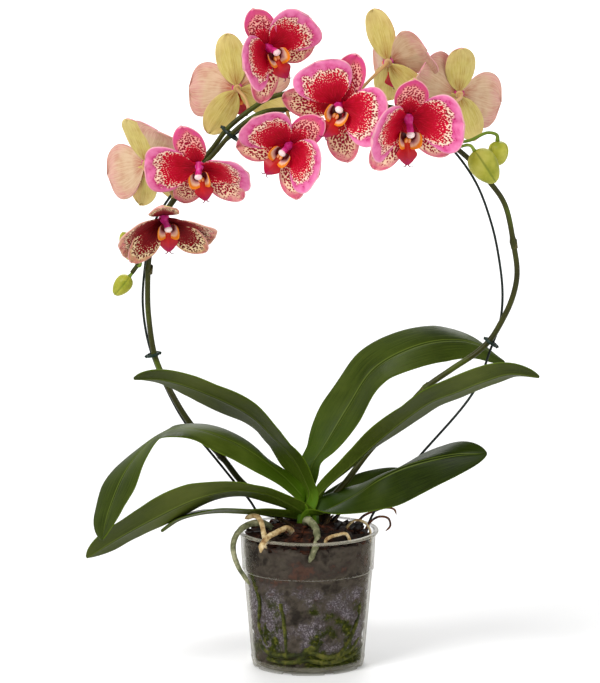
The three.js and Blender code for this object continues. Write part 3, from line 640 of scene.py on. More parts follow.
def shares(finish):
    """The piece's own UV map, across and along, as two outputs."""
    split = finish.add("SeparateXYZ", {0: finish.add("TexCoord", {}).outputs["UV"]})
    return split.outputs["X"], split.outputs["Y"]


def streaks(finish, scale, wide, long, detail):
    """A noise that is drawn out along the piece, on its UV map."""
    across, along = shares(finish)
    drawn = finish.add("CombineXYZ", {
        0: maths(finish, "MULTIPLY", across, wide), 1: maths(finish, "MULTIPLY", along, long)})
    return finish.noise(scale, drawn.outputs[0], detail)


def root_finish(name, dark, mid, pale):
    finish = Finish(name, Roughness=0.8, Specular_IOR_Level=0.2)
    wrinkles = streaks(finish, 9, wide=2, long=14, detail=5)
    patches = finish.noise(120, detail=6, roughness=0.62)
    finish.set(Base_Color=finish.ramp(patches, [(0.36, dark), (0.48, mid), (0.62, pale)]))
    worn(finish, patches, 0.6, 0.9)
    relief(finish, maths(finish, "ADD", wrinkles, patches), 0.6, 0.8)
    return finish


ROOT_SKINS = {
    "green": root_finish("root_skin_green", (70, 74, 50), (108, 110, 78), (158, 156, 124)),
    "tan": root_finish("root_skin_tan", (128, 94, 56), (186, 160, 112), (222, 204, 164)),
    "dry": root_finish("root_skin_dry", (46, 24, 16), (84, 46, 30), (124, 80, 54)),
    "buried": root_finish("root_skin_buried", (30, 34, 6), (54, 60, 14), (96, 96, 40)),
}


def knobbly(radii, seed):
    """A root's radius: it narrows to its rounded tip and swells a little here and there."""
    thick, thin = radii

    def radius_at(t, turn):
        ring = Vector((0, math.cos(turn), math.sin(turn)))
        swell = noise.noise(Vector((t * 9, 0, seed * 7)) + ring * 0.7)
        bumps = noise.noise(Vector((t * 34, 5, seed * 3)) + ring * 1.4)
        rounding = min(1, math.sqrt(max(0.0, (1 - t) * 14)))
        return (thick + (thin - thick) * t) * (1 + 0.2 * swell + 0.12 * bumps) * max(rounding, 0.3)

    return radius_at


for index, (name, root) in enumerate(ROOTS.items()):
    piece = tube(name + "_skin", root["route"], knobbly(root["radii"], index), steps=90, sides=16)
    coat(piece, ROOT_SKINS[root["skin"]])
    hand_over(piece, "root", name)

wall_roots = []
for index, (radius, stops) in enumerate(WALL_ROOTS):
    route = []
    for angle, height in stops:
        reach = wall_radius(height) - POT_WALL - radius * 0.75 - 0.5
        turn = math.radians(angle)
        route.append((reach * math.cos(turn), reach * math.sin(turn), height))
    radius_at = knobbly((radius, radius * 0.8), 20 + index)
    wall_roots.append(tube("wall_root", route, radius_at, steps=60, sides=10))
wall_roots = join_pieces("roots_in_bark", wall_roots)
coat(wall_roots, ROOT_SKINS["buried"])
hand_over(wall_roots, "root")


# ---------------------------------------------------------------- crown and leaves
# The leaves leave a short upright crown in two ranks, each clasping it with a folded base.
# Every blade is a thick leathery strap with a sunken midrib, glossier above than below.

CROWN_OUTLINE = [(8, 109), (9.4, 116), (9.8, 124), (9.2, 130), (7, 136), (3, 139), (0.4, 139.6)]
# Dry remains of old leaf bases: their angle, distance and height, and their length and lean.
DRY_SCALES = [
    (38, 15, 117, 26, 34), (62, 12, 119, 22, 12), (12, 17, 116, 20, 42), (100, 15, 117, 20, 24),
    (140, 14, 117, 24, 30), (165, 18, 115, 22, 44), (-12, 14, 117, 15, 30), (204, 15, 116, 16, 36)]
SCALE_THICKNESS = 0.5
LEAF_THICKNESS = 2.2
LEAF_COLUMNS = 20
LEAF_ROWS = 72
CLASP = 1.5
MIDRIB_GROOVE = 0.9
SHEATH_HALF = 13.5
SHEATH_ROWS = 14
SHEATH_OUT = 8
SHEATH_DROP = 28
SHEATH_LOWEST = 108
SHEATH_TONE = (86, 132, 12)
RIB_LINE_TONE = (128, 146, 60)
LEAF_EDGE_TONE = (96, 118, 20)
# The four low leaves take a darker copy of the upper face's green: painted shade.
SHADED_LOW_LEAVES = ("leaf_left_lower", "leaf_right_lower", "leaf_left_small", "leaf_right_small")
# Each leaf: its full width, the share of it at the base, where it is widest, the roll of the
# blade and the rise of its two halves from base to tip, and the route of its midrib. One has
# a narrower sheath, given as its half width.
LEAVES = {
    "leaf_left_upper": {
        "width": 58, "base": 0.29, "widest": 0.58, "roll": (-49, -15, -23, -29, -26),
        "fold": (-28, -2, -3, 10),
        "midrib": [(1, 1, 151), (-6, -1, 168), (-16, -5, 185), (-29, -9, 199), (-48, -13, 218),
                   (-81, -21, 237), (-121, -25, 251), (-147, -25, 252)]},
    "leaf_right_upper": {
        "width": 56, "base": 0.25, "widest": 0.38, "roll": (-12, -14, -21, -37, -19),
        "fold": (14, 7, -25),
        "midrib": [(0, 5, 149), (4, 11, 170), (13, 15, 183), (35, 27, 217), (56, 33, 248),
                   (84, 40, 264), (114, 47, 271), (142, 52, 268), (169, 56, 251)]},
    "leaf_left_middle": {
        "width": 58, "base": 0.33, "widest": 0.54, "roll": (42, 29, 11, -12, -12, -34),
        "fold": (-15, -8, -4, 5),
        "midrib": [(-7, -5, 148), (-19, -9, 162), (-39, -18, 180), (-63, -23, 196), (-91, -27, 207),
                   (-113, -32, 209), (-129, -33, 202), (-151, -42, 178), (-166, -59, 146),
                   (-172, -78, 124)]},
    "leaf_right_middle": {
        "width": 54, "base": 0.2, "widest": 0.59, "roll": (42, 27, 23, 28, 35),
        "fold": (23, 1, 13),
        "midrib": [(8, -1, 144), (12, -4, 151), (39, -9, 177), (60, -12, 197), (101, -20, 230),
                   (123, -25, 240), (151, -30, 252), (170, -35, 258), (194, -40, 256)]},
    "leaf_left_lower": {
        "width": 56, "base": 0.36, "widest": 0.6, "roll": (-36, -25, -38, -41, -35),
        "fold": (-13, 4, 3),
        "midrib": [(-5, -7, 134), (-16, -12, 142), (-36, -17, 152), (-64, -23, 156),
                   (-95, -31, 150), (-131, -37, 134), (-162, -44, 118), (-187, -44, 102)]},
    "leaf_right_lower": {
        "width": 57, "base": 0.46, "widest": 0.37, "roll": (-20, -21, -41, -44, -54),
        "fold": (32, -49, -6), "sheath": 9,
        "midrib": [(5, -6, 130), (17, -9, 135), (41, -18, 150), (59, -24, 165), (81, -30, 177),
                   (122, -41, 189), (150, -49, 192)]},
    "leaf_left_small": {
        "width": 34, "base": 0.45, "widest": 0.5, "roll": (-38, -18, -10, -10),
        "fold": (4, 4),
        "midrib": [(-8, 2, 126), (-20, -1, 129), (-49, -4, 132), (-77, -6, 133.5), (-95, -7, 131.5),
                   (-110, -8, 127), (-125, -9, 117)]},
    "leaf_right_small": {
        "width": 24, "base": 0.45, "widest": 0.5, "roll": (-30, -35, -35),
        "fold": (15, 5, 0),
        "midrib": [(3, 3, 130), (19, 15, 138), (40, 22, 148), (62, 28, 156), (84, 32, 161)]},
}


def leaf_finish(name, dark, mid, pale, fresh, gloss):
    """Leathery green, fresher towards the crown, with a dark line down the midrib that is painted
    shade in its groove, between two pale lines, fine veins along the blade and a thin light edge."""
    finish = Finish(name, Roughness=gloss, Specular_IOR_Level=0.07)
    across, along = shares(finish)
    off_middle = maths(finish, "ABSOLUTE", maths(finish, "SUBTRACT", across, 0.5))
    beside_rib = maths(finish, "ABSOLUTE", maths(finish, "SUBTRACT", off_middle, 0.028))
    patches = finish.noise(16, detail=4)
    veins = streaks(finish, 1.6, wide=60, long=5, detail=3)
    finish.set(Base_Color=layered(
        finish, finish.ramp(patches, [(0.3, dark), (0.52, mid), (0.76, pale)]),
        (rescaled(finish, along, 0.5, 0.12), 0.85, fresh),
        (rescaled(finish, along, 0.22, 0.08), 0.6, SHEATH_TONE),
        # A dark line down the midrib: painted shade in the groove.
        (rescaled(finish, off_middle, 0.03, 0.006), 0.6, dark),
        (rescaled(finish, beside_rib, 0.016, 0.002), 0.34, RIB_LINE_TONE),
        (rescaled(finish, veins, 0.35, 0.65), 0.3, pale),
        (rescaled(finish, off_middle, 0.478, 0.498), 0.5, LEAF_EDGE_TONE)))
    worn(finish, patches, gloss - 0.06, gloss + 0.1)
    relief(finish, maths(finish, "ADD", veins, finish.noise(700, detail=2)), 0.16, 0.5)
    return finish


def soften(piece):
    """Rounds a piece off with one subdivision."""
    apply(piece, "SUBSURF", levels=1, render_levels=1)
    smooth(piece)


def strap_width(t, leaf):
    if t < leaf["widest"]:
        rise = math.sin(t / leaf["widest"] * math.pi / 2) ** 1.3
        return leaf["base"] + (1 - leaf["base"]) * rise
    return (1 - ((t - leaf["widest"]) / (1 - leaf["widest"])) ** 2.2) ** 0.62


def along_leaf(t, stops):
    """An angle along a leaf, from evenly spaced stops."""
    at = t * (len(stops) - 1)
    k = min(int(at), len(stops) - 2)
    return math.radians(stops[k] + (stops[k + 1] - stops[k]) * (at - k))


def leaf_rows(leaf):
    """Places from the foot of the sheath to the tip, each with its sideways and its upward
    direction, and the shares of the blade and of the sheath that lie behind it."""
    places = smooth_route(leaf["midrib"], LEAF_ROWS)
    start, ahead = places[0], (places[1] - places[0]).normalized()
    outward = Vector((ahead.x, ahead.y, 0)).normalized()
    foot = outward * SHEATH_OUT + Vector((0, 0, max(start.z - SHEATH_DROP, SHEATH_LOWEST)))
    reach = (start - foot).length
    rows = []
    for row in range(SHEATH_ROWS):
        s = row / SHEATH_ROWS
        middle = (foot * (2 * s**3 - 3 * s * s + 1) + start * (3 * s * s - 2 * s**3)
                  + Vector((0, 0, reach)) * (s**3 - 2 * s * s + s) + ahead * reach * (s**3 - s * s))
        rows.append((middle, 0, s))
    rows += [(middle, row / LEAF_ROWS, 1) for row, middle in enumerate(places)]
    ways = [(rows[min(k + 1, len(rows) - 1)][0] - rows[max(k - 1, 0)][0]).normalized()
            for k in range(len(rows))]
    start_side = ahead.cross(Vector((0, 0, 1))).normalized()
    made = []
    for (middle, v, s), way in zip(rows, ways):
        sideways = start_side if s < 1 else way.cross(Vector((0, 0, 1))).normalized()
        made.append((middle, sideways, sideways.cross(way).normalized(), v, s))
    return made


def leaf_blade(name, leaf, finishes):
    rows = leaf_rows(leaf)

    def place(u, v_all):
        middle, sideways, upward, v, sheath = rows[round(v_all * (len(rows) - 1))]
        share = abs(2 * u - 1)
        hand = math.copysign(1, 2 * u - 1)
        blade_half = leaf["width"] / 2 * max(strap_width(v, leaf), 0.03)
        sheath_half = leaf.get("sheath", SHEATH_HALF)
        half = sheath_half + (blade_half - sheath_half) * sheath**2
        bend = CLASP * max(0, 1 - v / 0.16) ** 1.5 * (1 - 0.4 * sheath) + 0.06
        fold = along_leaf(v, leaf["fold"]) * sheath
        roll = along_leaf(v, leaf["roll"]) * sheath**2
        sideways_now = sideways * math.cos(roll) + upward * math.sin(roll)
        upward_now = upward * math.cos(roll) - sideways * math.sin(roll)
        out = half * (math.sin(fold + bend * share) - math.sin(fold)) / bend
        up = half * (math.cos(fold) - math.cos(fold + bend * share)) / bend
        groove = MIDRIB_GROOVE * math.exp(-(share / 0.07) ** 2)
        rounded = 0.03 * half * math.sin(math.pi * share) - groove
        wave = 0.5 * share**3 * math.sin(v * 17 + hand * share * 2)
        return middle + sideways_now * (hand * out) + upward_now * (up + rounded + wave)

    blade = sheet_grid(name, LEAF_COLUMNS, len(rows) - 1, place)
    coat(blade, *finishes)
    thick = blade.vertex_groups.new(name="thick")
    for vertex in blade.data.vertices:
        column = vertex.index % (LEAF_COLUMNS + 1)
        share = abs(2 * column / LEAF_COLUMNS - 1)
        thick.add([vertex.index], 1 - 0.6 * share**3, "REPLACE")
    apply(blade, "SOLIDIFY", thickness=LEAF_THICKNESS * MM, offset=0, vertex_group="thick",
          material_offset=1, material_offset_rim=0)
    soften(blade)
    return blade


leaf_above = leaf_finish(
    "leaf_above", (25, 37, 0), (49, 62, 9), (84, 97, 33), (52, 80, 0), 0.42)
# The same green painted darker, as shade, for the low leaves.
leaf_above_shaded = leaf_finish(
    "leaf_above_shaded", (14, 22, 0), (30, 42, 2), (58, 72, 16), (34, 58, 0), 0.42)
leaf_below = leaf_finish(
    "leaf_below", (36, 44, 6), (56, 66, 16), (84, 92, 36), (54, 78, 2), 0.5)
for name, leaf in LEAVES.items():
    above = leaf_above_shaded if name in SHADED_LOW_LEAVES else leaf_above
    hand_over(leaf_blade(name + "_blade", leaf, [above, leaf_below]), "leaf", name)

crown_finish = Finish("crown_green", Roughness=0.5)
crown_streaks = crown_finish.noise(
    60, stretched(crown_finish, crown_finish.place(), (1, 1, 0.2)), 4)
crown_tone = crown_finish.ramp(
    crown_streaks, [(0.3, (52, 84, 0)), (0.55, (72, 112, 4)), (0.75, (96, 134, 22))])
crown_foot = rescaled(crown_finish, height_of(crown_finish), 0.12, 0.11)
crown_finish.set(Base_Color=blended(crown_finish, crown_foot, crown_tone, (86, 66, 36)))
worn(crown_finish, crown_streaks, 0.4, 0.6)
relief(crown_finish, crown_streaks, 0.5, 0.6)
crown = thrown("crown_core", CROWN_OUTLINE, sides=32)
soften(crown)
coat(crown, crown_finish)
hand_over(crown, "crown_green", "crown")

dry_finish = Finish("dry_scales", Roughness=0.85, Specular_IOR_Level=0.2)
fibres = dry_finish.noise(70, stretched(dry_finish, dry_finish.place(), (3, 3, 0.4)), 6, 0.6)
dry_finish.set(Base_Color=dry_finish.ramp(
    fibres, [(0.3, (20, 14, 6)), (0.5, (50, 36, 18)), (0.72, (104, 84, 50))]))
worn(dry_finish, fibres, 0.75, 0.95)
relief(dry_finish, fibres, 0.5, 0.8)
dry_scales = []
for index, (angle, distance, height, length, lean) in enumerate(DRY_SCALES):
    around = math.radians(angle)
    outward = Vector((math.cos(around), math.sin(around), 0))
    along = outward * math.sin(math.radians(lean)) + Vector((0, 0, math.cos(math.radians(lean))))
    sideways = Vector((-outward.y, outward.x, 0))

    def scale_place(u, v):
        bend = 1.1 * (2 * u - 1)
        half = 7 * (1 - v) ** 0.5 + 0.6
        ragged = 1.6 * noise.noise(Vector((u * 5, v * 3, index * 4)))
        return (outward * (distance - half * (1 - math.cos(bend))) + Vector((0, 0, height))
                + sideways * half * math.sin(bend) + along * (v * length + ragged)
                + outward * ragged)

    scale = sheet_grid("dry_scale", columns=12, rows=12, place=scale_place)
    apply(scale, "SOLIDIFY", thickness=SCALE_THICKNESS * MM, offset=0)
    dry_scales.append(scale)
dry_scales = join_pieces("dry_leaf_bases", dry_scales)
smooth(dry_scales, angle=60)
coat(dry_scales, dry_finish)
hand_over(dry_scales, "bark")


# ---------------------------------------------------------------- wire hoop
# One length of green plastic-coated steel wire, pushed into the bark on both sides and bent
# into the arch that the flower stems are trained along.

WIRE_RADIUS = 1.1
HOOP_ROUTE = [
    (-34, 15, 55), (-36, 16, 108), (-47, 17, 134), (-63, 20, 154), (-87, 21, 184), (-104, 22, 204),
    (-119, 22, 231), (-134, 22, 268), (-140, 22, 302), (-139, 22, 333), (-131, 22, 375),
    (-117, 22, 399), (-100, 22, 421), (-77, 22, 440), (-64, 22, 451), (-41, 22, 465),
    (-16, 22, 473), (18, 22, 478), (48, 22, 478), (67, 22, 475.5), (94, 22, 463), (117, 22, 445),
    (141, 22, 413), (155, 22, 377), (162, 22, 345), (165, 22, 316), (163, 22, 292),
    (155, 22, 268), (141, 21, 232), (94, 19, 175), (74, 16, 150), (53, 14, 122), (45, 13, 55),
]


def clouded_finish(name, scale, tones, gloss, bumps, detail=3):
    """A finish that follows one fine cloud: its tones, its least and most roughness, and the
    depth and strength of its bumps."""
    finish = Finish(name, Roughness=0.4, Specular_IOR_Level=0.25)
    cloud = finish.noise(scale, detail=detail)
    finish.set(Base_Color=finish.ramp(cloud, tones))
    worn(finish, cloud, *gloss)
    relief(finish, cloud, *bumps)
    return finish


coated = clouded_finish("coated_wire", 120, [(0.3, (10, 18, 14)), (0.7, (20, 34, 26))],
                        gloss=(0.3, 0.5), bumps=(0.08, 0.6), detail=4)
hoop = tube("hoop_wire", HOOP_ROUTE, lambda t, turn: WIRE_RADIUS, steps=260, sides=12)
coat(hoop, coated)
hand_over(hoop, "wire", "wire_hoop")


# ---------------------------------------------------------------- flower stems
# Two long green spikes, tied to the hoop from the left and from the right. They thin towards
# the tip, have a ring and a dry bract at each joint, and send a slim stalk to every flower.

SPIKES = {
    "spike_left": {
        "stem": "left", "steps": 300,
        "joints": [(-134.6, 17, 336), (-73, 14, 176)],
        "route": [
            (-4, 2, 137), (-23, 6, 139), (-39, 8, 143), (-56, 11, 155), (-73, 14, 176),
            (-100, 16, 205), (-116, 17, 231), (-126, 17, 252), (-131, 17, 267), (-135, 17, 295),
            (-136, 17, 315), (-134, 17, 352), (-127, 17, 376), (-112, 17, 400), (-95, 17, 424),
            (-80, 17, 442), (-68, 17, 458), (-46, 17, 476), (-35, 17, 483), (-19, 16, 488),
            (10, 15, 491), (39, 13, 486), (66, 11, 478), (94, 9, 466), (114, 8, 452),
            (122, 8, 446)]},
    "spike_right": {
        "stem": "right", "steps": 360,
        "joints": [(174.3, 17, 358), (99, 17, 235)],
        "route": [
            (4, 1, 134), (17, 4, 141), (31, 7, 155), (51, 11, 181), (76, 15, 209), (99, 17, 235),
            (122, 17, 252), (144, 17, 267), (155, 17, 278), (163, 17, 291), (173, 17, 313),
            (177, 17, 334), (174, 17, 359), (166, 17, 394), (153, 17, 413), (137, 17, 431),
            (122, 16.5, 444), (103, 16.5, 460), (86, 16.5, 471), (65, 16.5, 477), (27, 14, 479),
            (-16, 12, 475), (-33, 11, 474), (-46, 11, 469), (-66, 11, 453), (-78, 11, 439),
            (-94, 11, 422), (-112, 11, 399), (-129, 11, 374), (-140, 11, 351), (-144, 11, 343),
            (-149, 11, 336)]},
}
SPIKE_BASE = 2.7
SPIKE_TIP = 1.9
JOINT_SWELL = 0.9
JOINT_REACH = 0.004
STALK_RADIUS = 1.4
BRACT_WRAP = 150
BRACT_LENGTH = 8
# Where each flower sits on its stem: its turn to the right, up and round, in degrees, and the
# way of its stalk. Each tepal has its direction round the flower, its lean to the front and
# its twist. A lip sits to the right of and below the middle, and a size is 1 unless given.
FLOWERS = {
    "flower_1": {
        "stem": "left", "at": (-60, 44, 489), "turn": (181, -1, 13),
        "stalk": [(-50, 17, 475), (-53, 23, 483)], "dorsal": (92, 6, 9),
        "petals": [(10, 32, 22), (160, 13, 1)], "sepals": [(218, 19, 0), (315, 16, -5)]},
    "flower_2": {
        "stem": "left", "at": (-33, -14, 530), "turn": (27, -17, -26), "lip": (2, 0),
        "stalk": [(-30, 17, 485), (-36, 14, 500)], "dorsal": (95, 16, -20),
        "petals": [(29, 29, -5), (164, 44, 15)], "sepals": [(237, 17, -1), (327, -4, 0)]},
    "flower_3": {
        "stem": "left", "at": (25, -20, 482), "turn": (-10, -11, 29), "lip": (2, -2.5),
        "stalk": [(12, 15, 491), (18, 8, 496)], "dorsal": (98, 10, 2), "size": 1.06,
        "petals": [(21, 30, -15), (138, 24, 6)], "sepals": [(207, -8, -8), (305, 3, 0)]},
    "flower_4": {
        "stem": "right", "at": (-16, -6, 447), "turn": (-24, -18, 41), "lip": (0, 2),
        "stalk": [(-18, 12, 475), (-16, 10, 467)], "dorsal": (80, 12, 0),
        "petals": [(19, 38, -9), (158, 36, 10)], "sepals": [(224, 11, 1), (315, 15, 8)]},
    "flower_5": {
        "stem": "left", "at": (68, 46, 511), "turn": (166, 5, 7),
        "stalk": [(42, 13, 485), (45, 21, 491)], "dorsal": (82, 3, -10),
        "petals": [(14, 68, 0), (168, -25, 20)], "sepals": [(236, 4, 10), (288, 40, 0)]},
    "flower_6": {
        "stem": "left", "at": (83, -35, 474), "turn": (13, -24, 2), "lip": (0.5, 7.5),
        "stalk": [(80, 10, 472), (80, 0, 482)], "dorsal": (97, 27, -7), "size": 1.1,
        "petals": [(16, 40, -10), (180, 46, -2)], "sepals": [(238, 19, 1), (322, 8, -7)]},
    "flower_7": {
        "stem": "left", "at": (128, 48, 484), "turn": (190, 17, -13),
        "stalk": [(103, 8.5, 461), (108, 15, 470)], "dorsal": (74, -8, 0),
        "petals": [(21, -10, 8), (189, 23, -30)], "sepals": [(237, 6, 10), (317, 35, -10)]},
    "flower_8": {
        "stem": "right", "at": (-91, -14, 431), "turn": (-2, -36, -13), "lip": (-1, 1.5),
        "stalk": [(-90, 11, 427), (-93, 8, 435)], "dorsal": (93, 6, 1),
        "petals": [(-4, 26, 14), (167, 5, 7)], "sepals": [(237, 3, -7), (311, 21, -2)]},
    "flower_9": {
        "stem": "right", "at": (-121, -12, 386), "turn": (6, -40, -3), "lip": (3, 0.5),
        "stalk": [(-124, 11, 382), (-125, 6, 391)], "dorsal": (92, 36, 0),
        "petals": [(-16, 18, 22), (190, 34, -14)], "sepals": [(222, 38, 0), (322, 26, 0)]},
    "flower_10": {
        "stem": "right", "at": (-137, 44, 425), "turn": (159, 17, 19),
        "stalk": [(-112, 11, 400), (-120, 16, 409)], "dorsal": (100, -9, -15),
        "petals": [(-4, 14, 29), (139, -18, 4)], "sepals": [(262, 25, 10), (309, 17, 6)]},
}
BUDS = {
    "bud_right_large": {
        "stem": "left", "base": (139.5, -5, 442), "tip": (157.5, -4, 415), "radius": 12.2,
        "stalk": [(121, 8, 446), (127, 5, 444.5), (133.5, -1, 446.5)]},
    "bud_right_small": {
        "stem": "left", "base": (159.6, 17, 447.5), "tip": (161.6, 16, 427), "radius": 8.6,
        "stalk": [(120, 8, 447), (136, 10, 449), (151, 14, 455)]},
    "bud_left_upper": {
        "stem": "right", "base": (-146, 11, 347), "tip": (-157, 11, 371), "radius": 7.6,
        "stalk": [(-141, 11, 350), (-142, 7, 343)]},
    "bud_left_lower": {
        "stem": "right", "base": (-151, 11, 333), "tip": (-164, 11, 317), "radius": 7.4,
        "stalk": [(-146, 11, 340)]},
}
# Where a stalk ends, behind the middle of its flower.
SEAT = -3.1


def flower_matrix(flower):
    """The flower's own axes, right, top and front, at its place."""
    yaw, tilt, roll = (math.radians(angle) for angle in flower["turn"])
    front = Vector((
        math.sin(yaw) * math.cos(tilt), -math.cos(yaw) * math.cos(tilt), math.sin(tilt)))
    level = (Vector((0, 0, 1)) - front * front.z).normalized()
    top = level * math.cos(roll) + level.cross(front) * math.sin(roll)
    right = top.cross(front)
    axes = Matrix((right, top, front)).transposed().to_4x4()
    size = flower.get("size", 1)
    return Matrix.Translation(Vector(flower["at"])) @ axes @ Matrix.Diagonal((size, size, size, 1))


def bud_matrix(bud):
    """The bud's own axes, from its base to its tip along Z."""
    axis = (Vector(bud["tip"]) - Vector(bud["base"])).normalized()
    turn = Vector((0, 0, 1)).rotation_difference(axis).to_matrix().to_4x4()
    return Matrix.Translation(Vector(bud["base"])) @ turn


def stalk_route(item):
    """A stalk bends so that it meets the back of its flower or bud square on."""
    matrix = bud_matrix(item) if "base" in item else flower_matrix(item)
    seat = 0 if "base" in item else SEAT
    return [*item["stalk"], matrix @ Vector((0, 0, seat - 5)), matrix @ Vector((0, 0, seat))]


def stem_finish(name, dark, mid, pale):
    finish = Finish(name, Roughness=0.5, Specular_IOR_Level=0.2)
    long_patches = finish.noise(28, detail=5)
    flecks = finish.noise(520, detail=3)
    finish.set(Base_Color=layered(
        finish, finish.ramp(long_patches, [(0.32, dark), (0.5, mid), (0.7, pale)]),
        (rescaled(finish, flecks, 0.6, 0.72), 0.35, pale)))
    worn(finish, long_patches, 0.36, 0.55)
    relief(finish, flecks, 0.12, 0.5)
    return finish


stem_green = stem_finish("spike_green", (42, 40, 8), (56, 58, 12), (86, 104, 20))
stalk_pale = stem_finish("stalk_pale", (150, 110, 66), (190, 150, 96), (206, 168, 130))
stalk_green = stem_finish("stalk_green", (72, 92, 22), (104, 126, 34), (140, 156, 62))
bract_brown = stem_finish("bract_brown", (54, 48, 20), (78, 72, 32), (108, 106, 56))


def nearest(places, spot):
    """Which of the places lies closest to a spot."""
    return min(range(len(places)), key=lambda k: (places[k] - Vector(spot)).length)


def stem_radius(joints, route):
    """The stem thins along its way and swells round each joint."""
    places = smooth_route(route, 100)
    swellings = [nearest(places, joint) / 100 for joint in joints]

    def radius_at(t, turn):
        ring = sum(JOINT_SWELL * math.exp(-((t - at) / JOINT_REACH) ** 2) for at in swellings)
        return (SPIKE_BASE + (SPIKE_TIP - SPIKE_BASE) * t) * (1 + 0.03 * math.sin(3 * turn)) + ring

    return radius_at


def stalk_radius(t, turn):
    """A flower's stalk flares where it leaves the stem and again under the flower."""
    return STALK_RADIUS * (1 + 0.35 * math.exp(-t * 16) + 0.45 * math.exp(-(1 - t) * 12))


def bract(joint, ahead):
    """A small pointed scale that clasps the stem at a joint."""
    side = ahead.orthogonal().normalized()
    other = ahead.cross(side)

    def place(u, v):
        turn = math.radians(BRACT_WRAP) * (1 - v) ** 0.6 * (2 * u - 1)
        radius = SPIKE_BASE + 0.4 * v
        return Vector(joint) + (side * math.cos(turn) + other * math.sin(turn)) * radius \
            + ahead * (BRACT_LENGTH * v - 2)

    scale = sheet_grid("bract", columns=12, rows=8, place=place)
    apply(scale, "SOLIDIFY", thickness=SCALE_THICKNESS * MM, offset=0)
    smooth(scale, angle=60)
    return scale


for name, spike in SPIKES.items():
    radius_at = stem_radius(spike["joints"], spike["route"])
    stem = tube(name + "_stem", spike["route"], radius_at, spike["steps"], sides=14)
    coat(stem, stem_green)
    hand_over(stem, "stem", name)
    route = smooth_route(spike["route"], 200)
    scales = []
    for joint in spike["joints"]:
        at = nearest(route, joint)
        scales.append(bract(joint, (route[at + 1] - route[at - 1]).normalized()))
    scales = join_pieces(name + "_bracts", scales)
    coat(scales, bract_brown)
    hand_over(scales, "stem")
    for kind, items, finish in (("flower", FLOWERS, stalk_pale), ("bud", BUDS, stalk_green)):
        stalks = [tube("stalk", stalk_route(item), stalk_radius, steps=30, sides=10)
                  for item in items.values() if item["stem"] == spike["stem"]]
        stalks = join_pieces(f"{name}_{kind}_stalks", stalks)
        coat(stalks, finish)
        hand_over(stalks, "stem")


# ---------------------------------------------------------------- clips
# Soft dark-green plastic loops that tie each stem to the wire, with two short ears. Each is
# moulded in one piece and pinched shut round the stem and the wire.

CLIPS = {
    "clip_left": {"at": (-131.6, 19, 264.5), "along": (-4, 0, 15), "size": (4.9, 5.8)},
    "clip_right": {"at": (155.4, 19, 275), "along": (12, 0, 17), "size": (5.2, 5.8)},
    "clip_top": {"at": (-66, 16.6, 454), "along": (12, 0, 14), "size": (7.6, 8.6)},
}
CLIP_WALL = 1.0
CLIP_HEIGHT = 2.6
CLIP_EDGE = 0.3
EAR_SIZE = (2.4, 1.4, CLIP_HEIGHT)

soft_plastic = clouded_finish("soft_green_plastic", 200, [(0.3, (12, 26, 20)), (0.7, (26, 48, 36))],
                              gloss=(0.38, 0.55), bumps=(0.1, 0.5))

for name, clip in CLIPS.items():
    wide, deep = clip["size"]
    along = Vector(clip["along"]).normalized()
    across = Vector((0, 1, 0)).cross(along).normalized()
    axes = Matrix((across, along.cross(across), along)).transposed().to_4x4()
    alone()
    bpy.ops.mesh.primitive_cylinder_add(vertices=48, radius=1, depth=CLIP_HEIGHT * MM,
                                        end_fill_type="NOTHING")
    loop = bpy.context.object
    halves = ((side + CLIP_WALL / 2) * MM for side in (wide, deep))
    loop.data.transform(Matrix.Diagonal((*halves, 1, 1)))
    apply(loop, "SOLIDIFY", thickness=CLIP_WALL * MM, offset=0)
    ears = [block((hand * (wide + 1.1), -1, 0), (0, hand * 0.5, hand * 0.4), EAR_SIZE)
            for hand in (-1, 1)]
    piece = join_pieces(name + "_loop", [loop, *ears])
    piece.data.transform(Matrix.Translation(Vector(clip["at"]) * MM) @ axes)
    apply(piece, "BEVEL", width=CLIP_EDGE * MM, segments=2)
    smooth(piece, angle=40)
    coat(piece, soft_plastic)
    hand_over(piece, "clip", name)


# ---------------------------------------------------------------- buds
# Closed buds: an egg shape with a blunt point, made by three green sepals that meet in seams.
# Each hangs on a stalk of its own, waxy yellow-green and a little darker in its seams.

BUD_PROFILE = [
    (0, 0.0), (0.02, 0.4), (0.15, 0.84), (0.38, 1.0), (0.68, 0.84), (0.93, 0.4), (1, 0.0)]
BUD_ROWS = 36
BUD_SIDES = 48
SEAM_DEPTH = 0.13
SEAM_START = 0.75 * math.pi

bud_skin = Finish("bud_skin", Roughness=0.5, Specular_IOR_Level=0.2)
bud_across, _ = shares(bud_skin)
bud_patches = bud_skin.noise(60, detail=4)
seam = maths(bud_skin, "ABSOLUTE", maths(
    bud_skin, "SINE", maths(bud_skin, "MULTIPLY_ADD", bud_across, 3 * math.pi, SEAM_START)))
bud_skin.set(Base_Color=layered(
    bud_skin, bud_skin.ramp(bud_patches, [
        (0.3, (122, 130, 24)), (0.52, (168, 166, 58)), (0.75, (196, 190, 92))]),
    (rescaled(bud_skin, seam, 0.22, 0.02), 0.6, (96, 112, 24))))
worn(bud_skin, bud_patches, 0.4, 0.55)
relief(bud_skin, bud_patches, 0.2, 0.5)


def bud_shell(name, bud):
    matrix = bud_matrix(bud)
    length = (Vector(bud["tip"]) - Vector(bud["base"])).length
    profile = smooth_route([(radius * bud["radius"], 0, height * length)
                            for height, radius in BUD_PROFILE], BUD_ROWS)

    def place(u, v):
        radius, _, height = profile[round(v * BUD_ROWS)]
        turn = 2 * math.pi * u
        groove = 1 - SEAM_DEPTH * math.exp(-(math.sin(1.5 * turn + SEAM_START) / 0.2) ** 2)
        flat = (radius * groove * math.cos(turn), radius * groove * math.sin(turn))
        return matrix @ Vector((*flat, height))

    shell = rolled_grid(name, BUD_SIDES, BUD_ROWS, place)
    coat(shell, bud_skin)
    return shell


for name, bud in BUDS.items():
    hand_over(bud_shell(name + "_shell", bud), "bud", name)


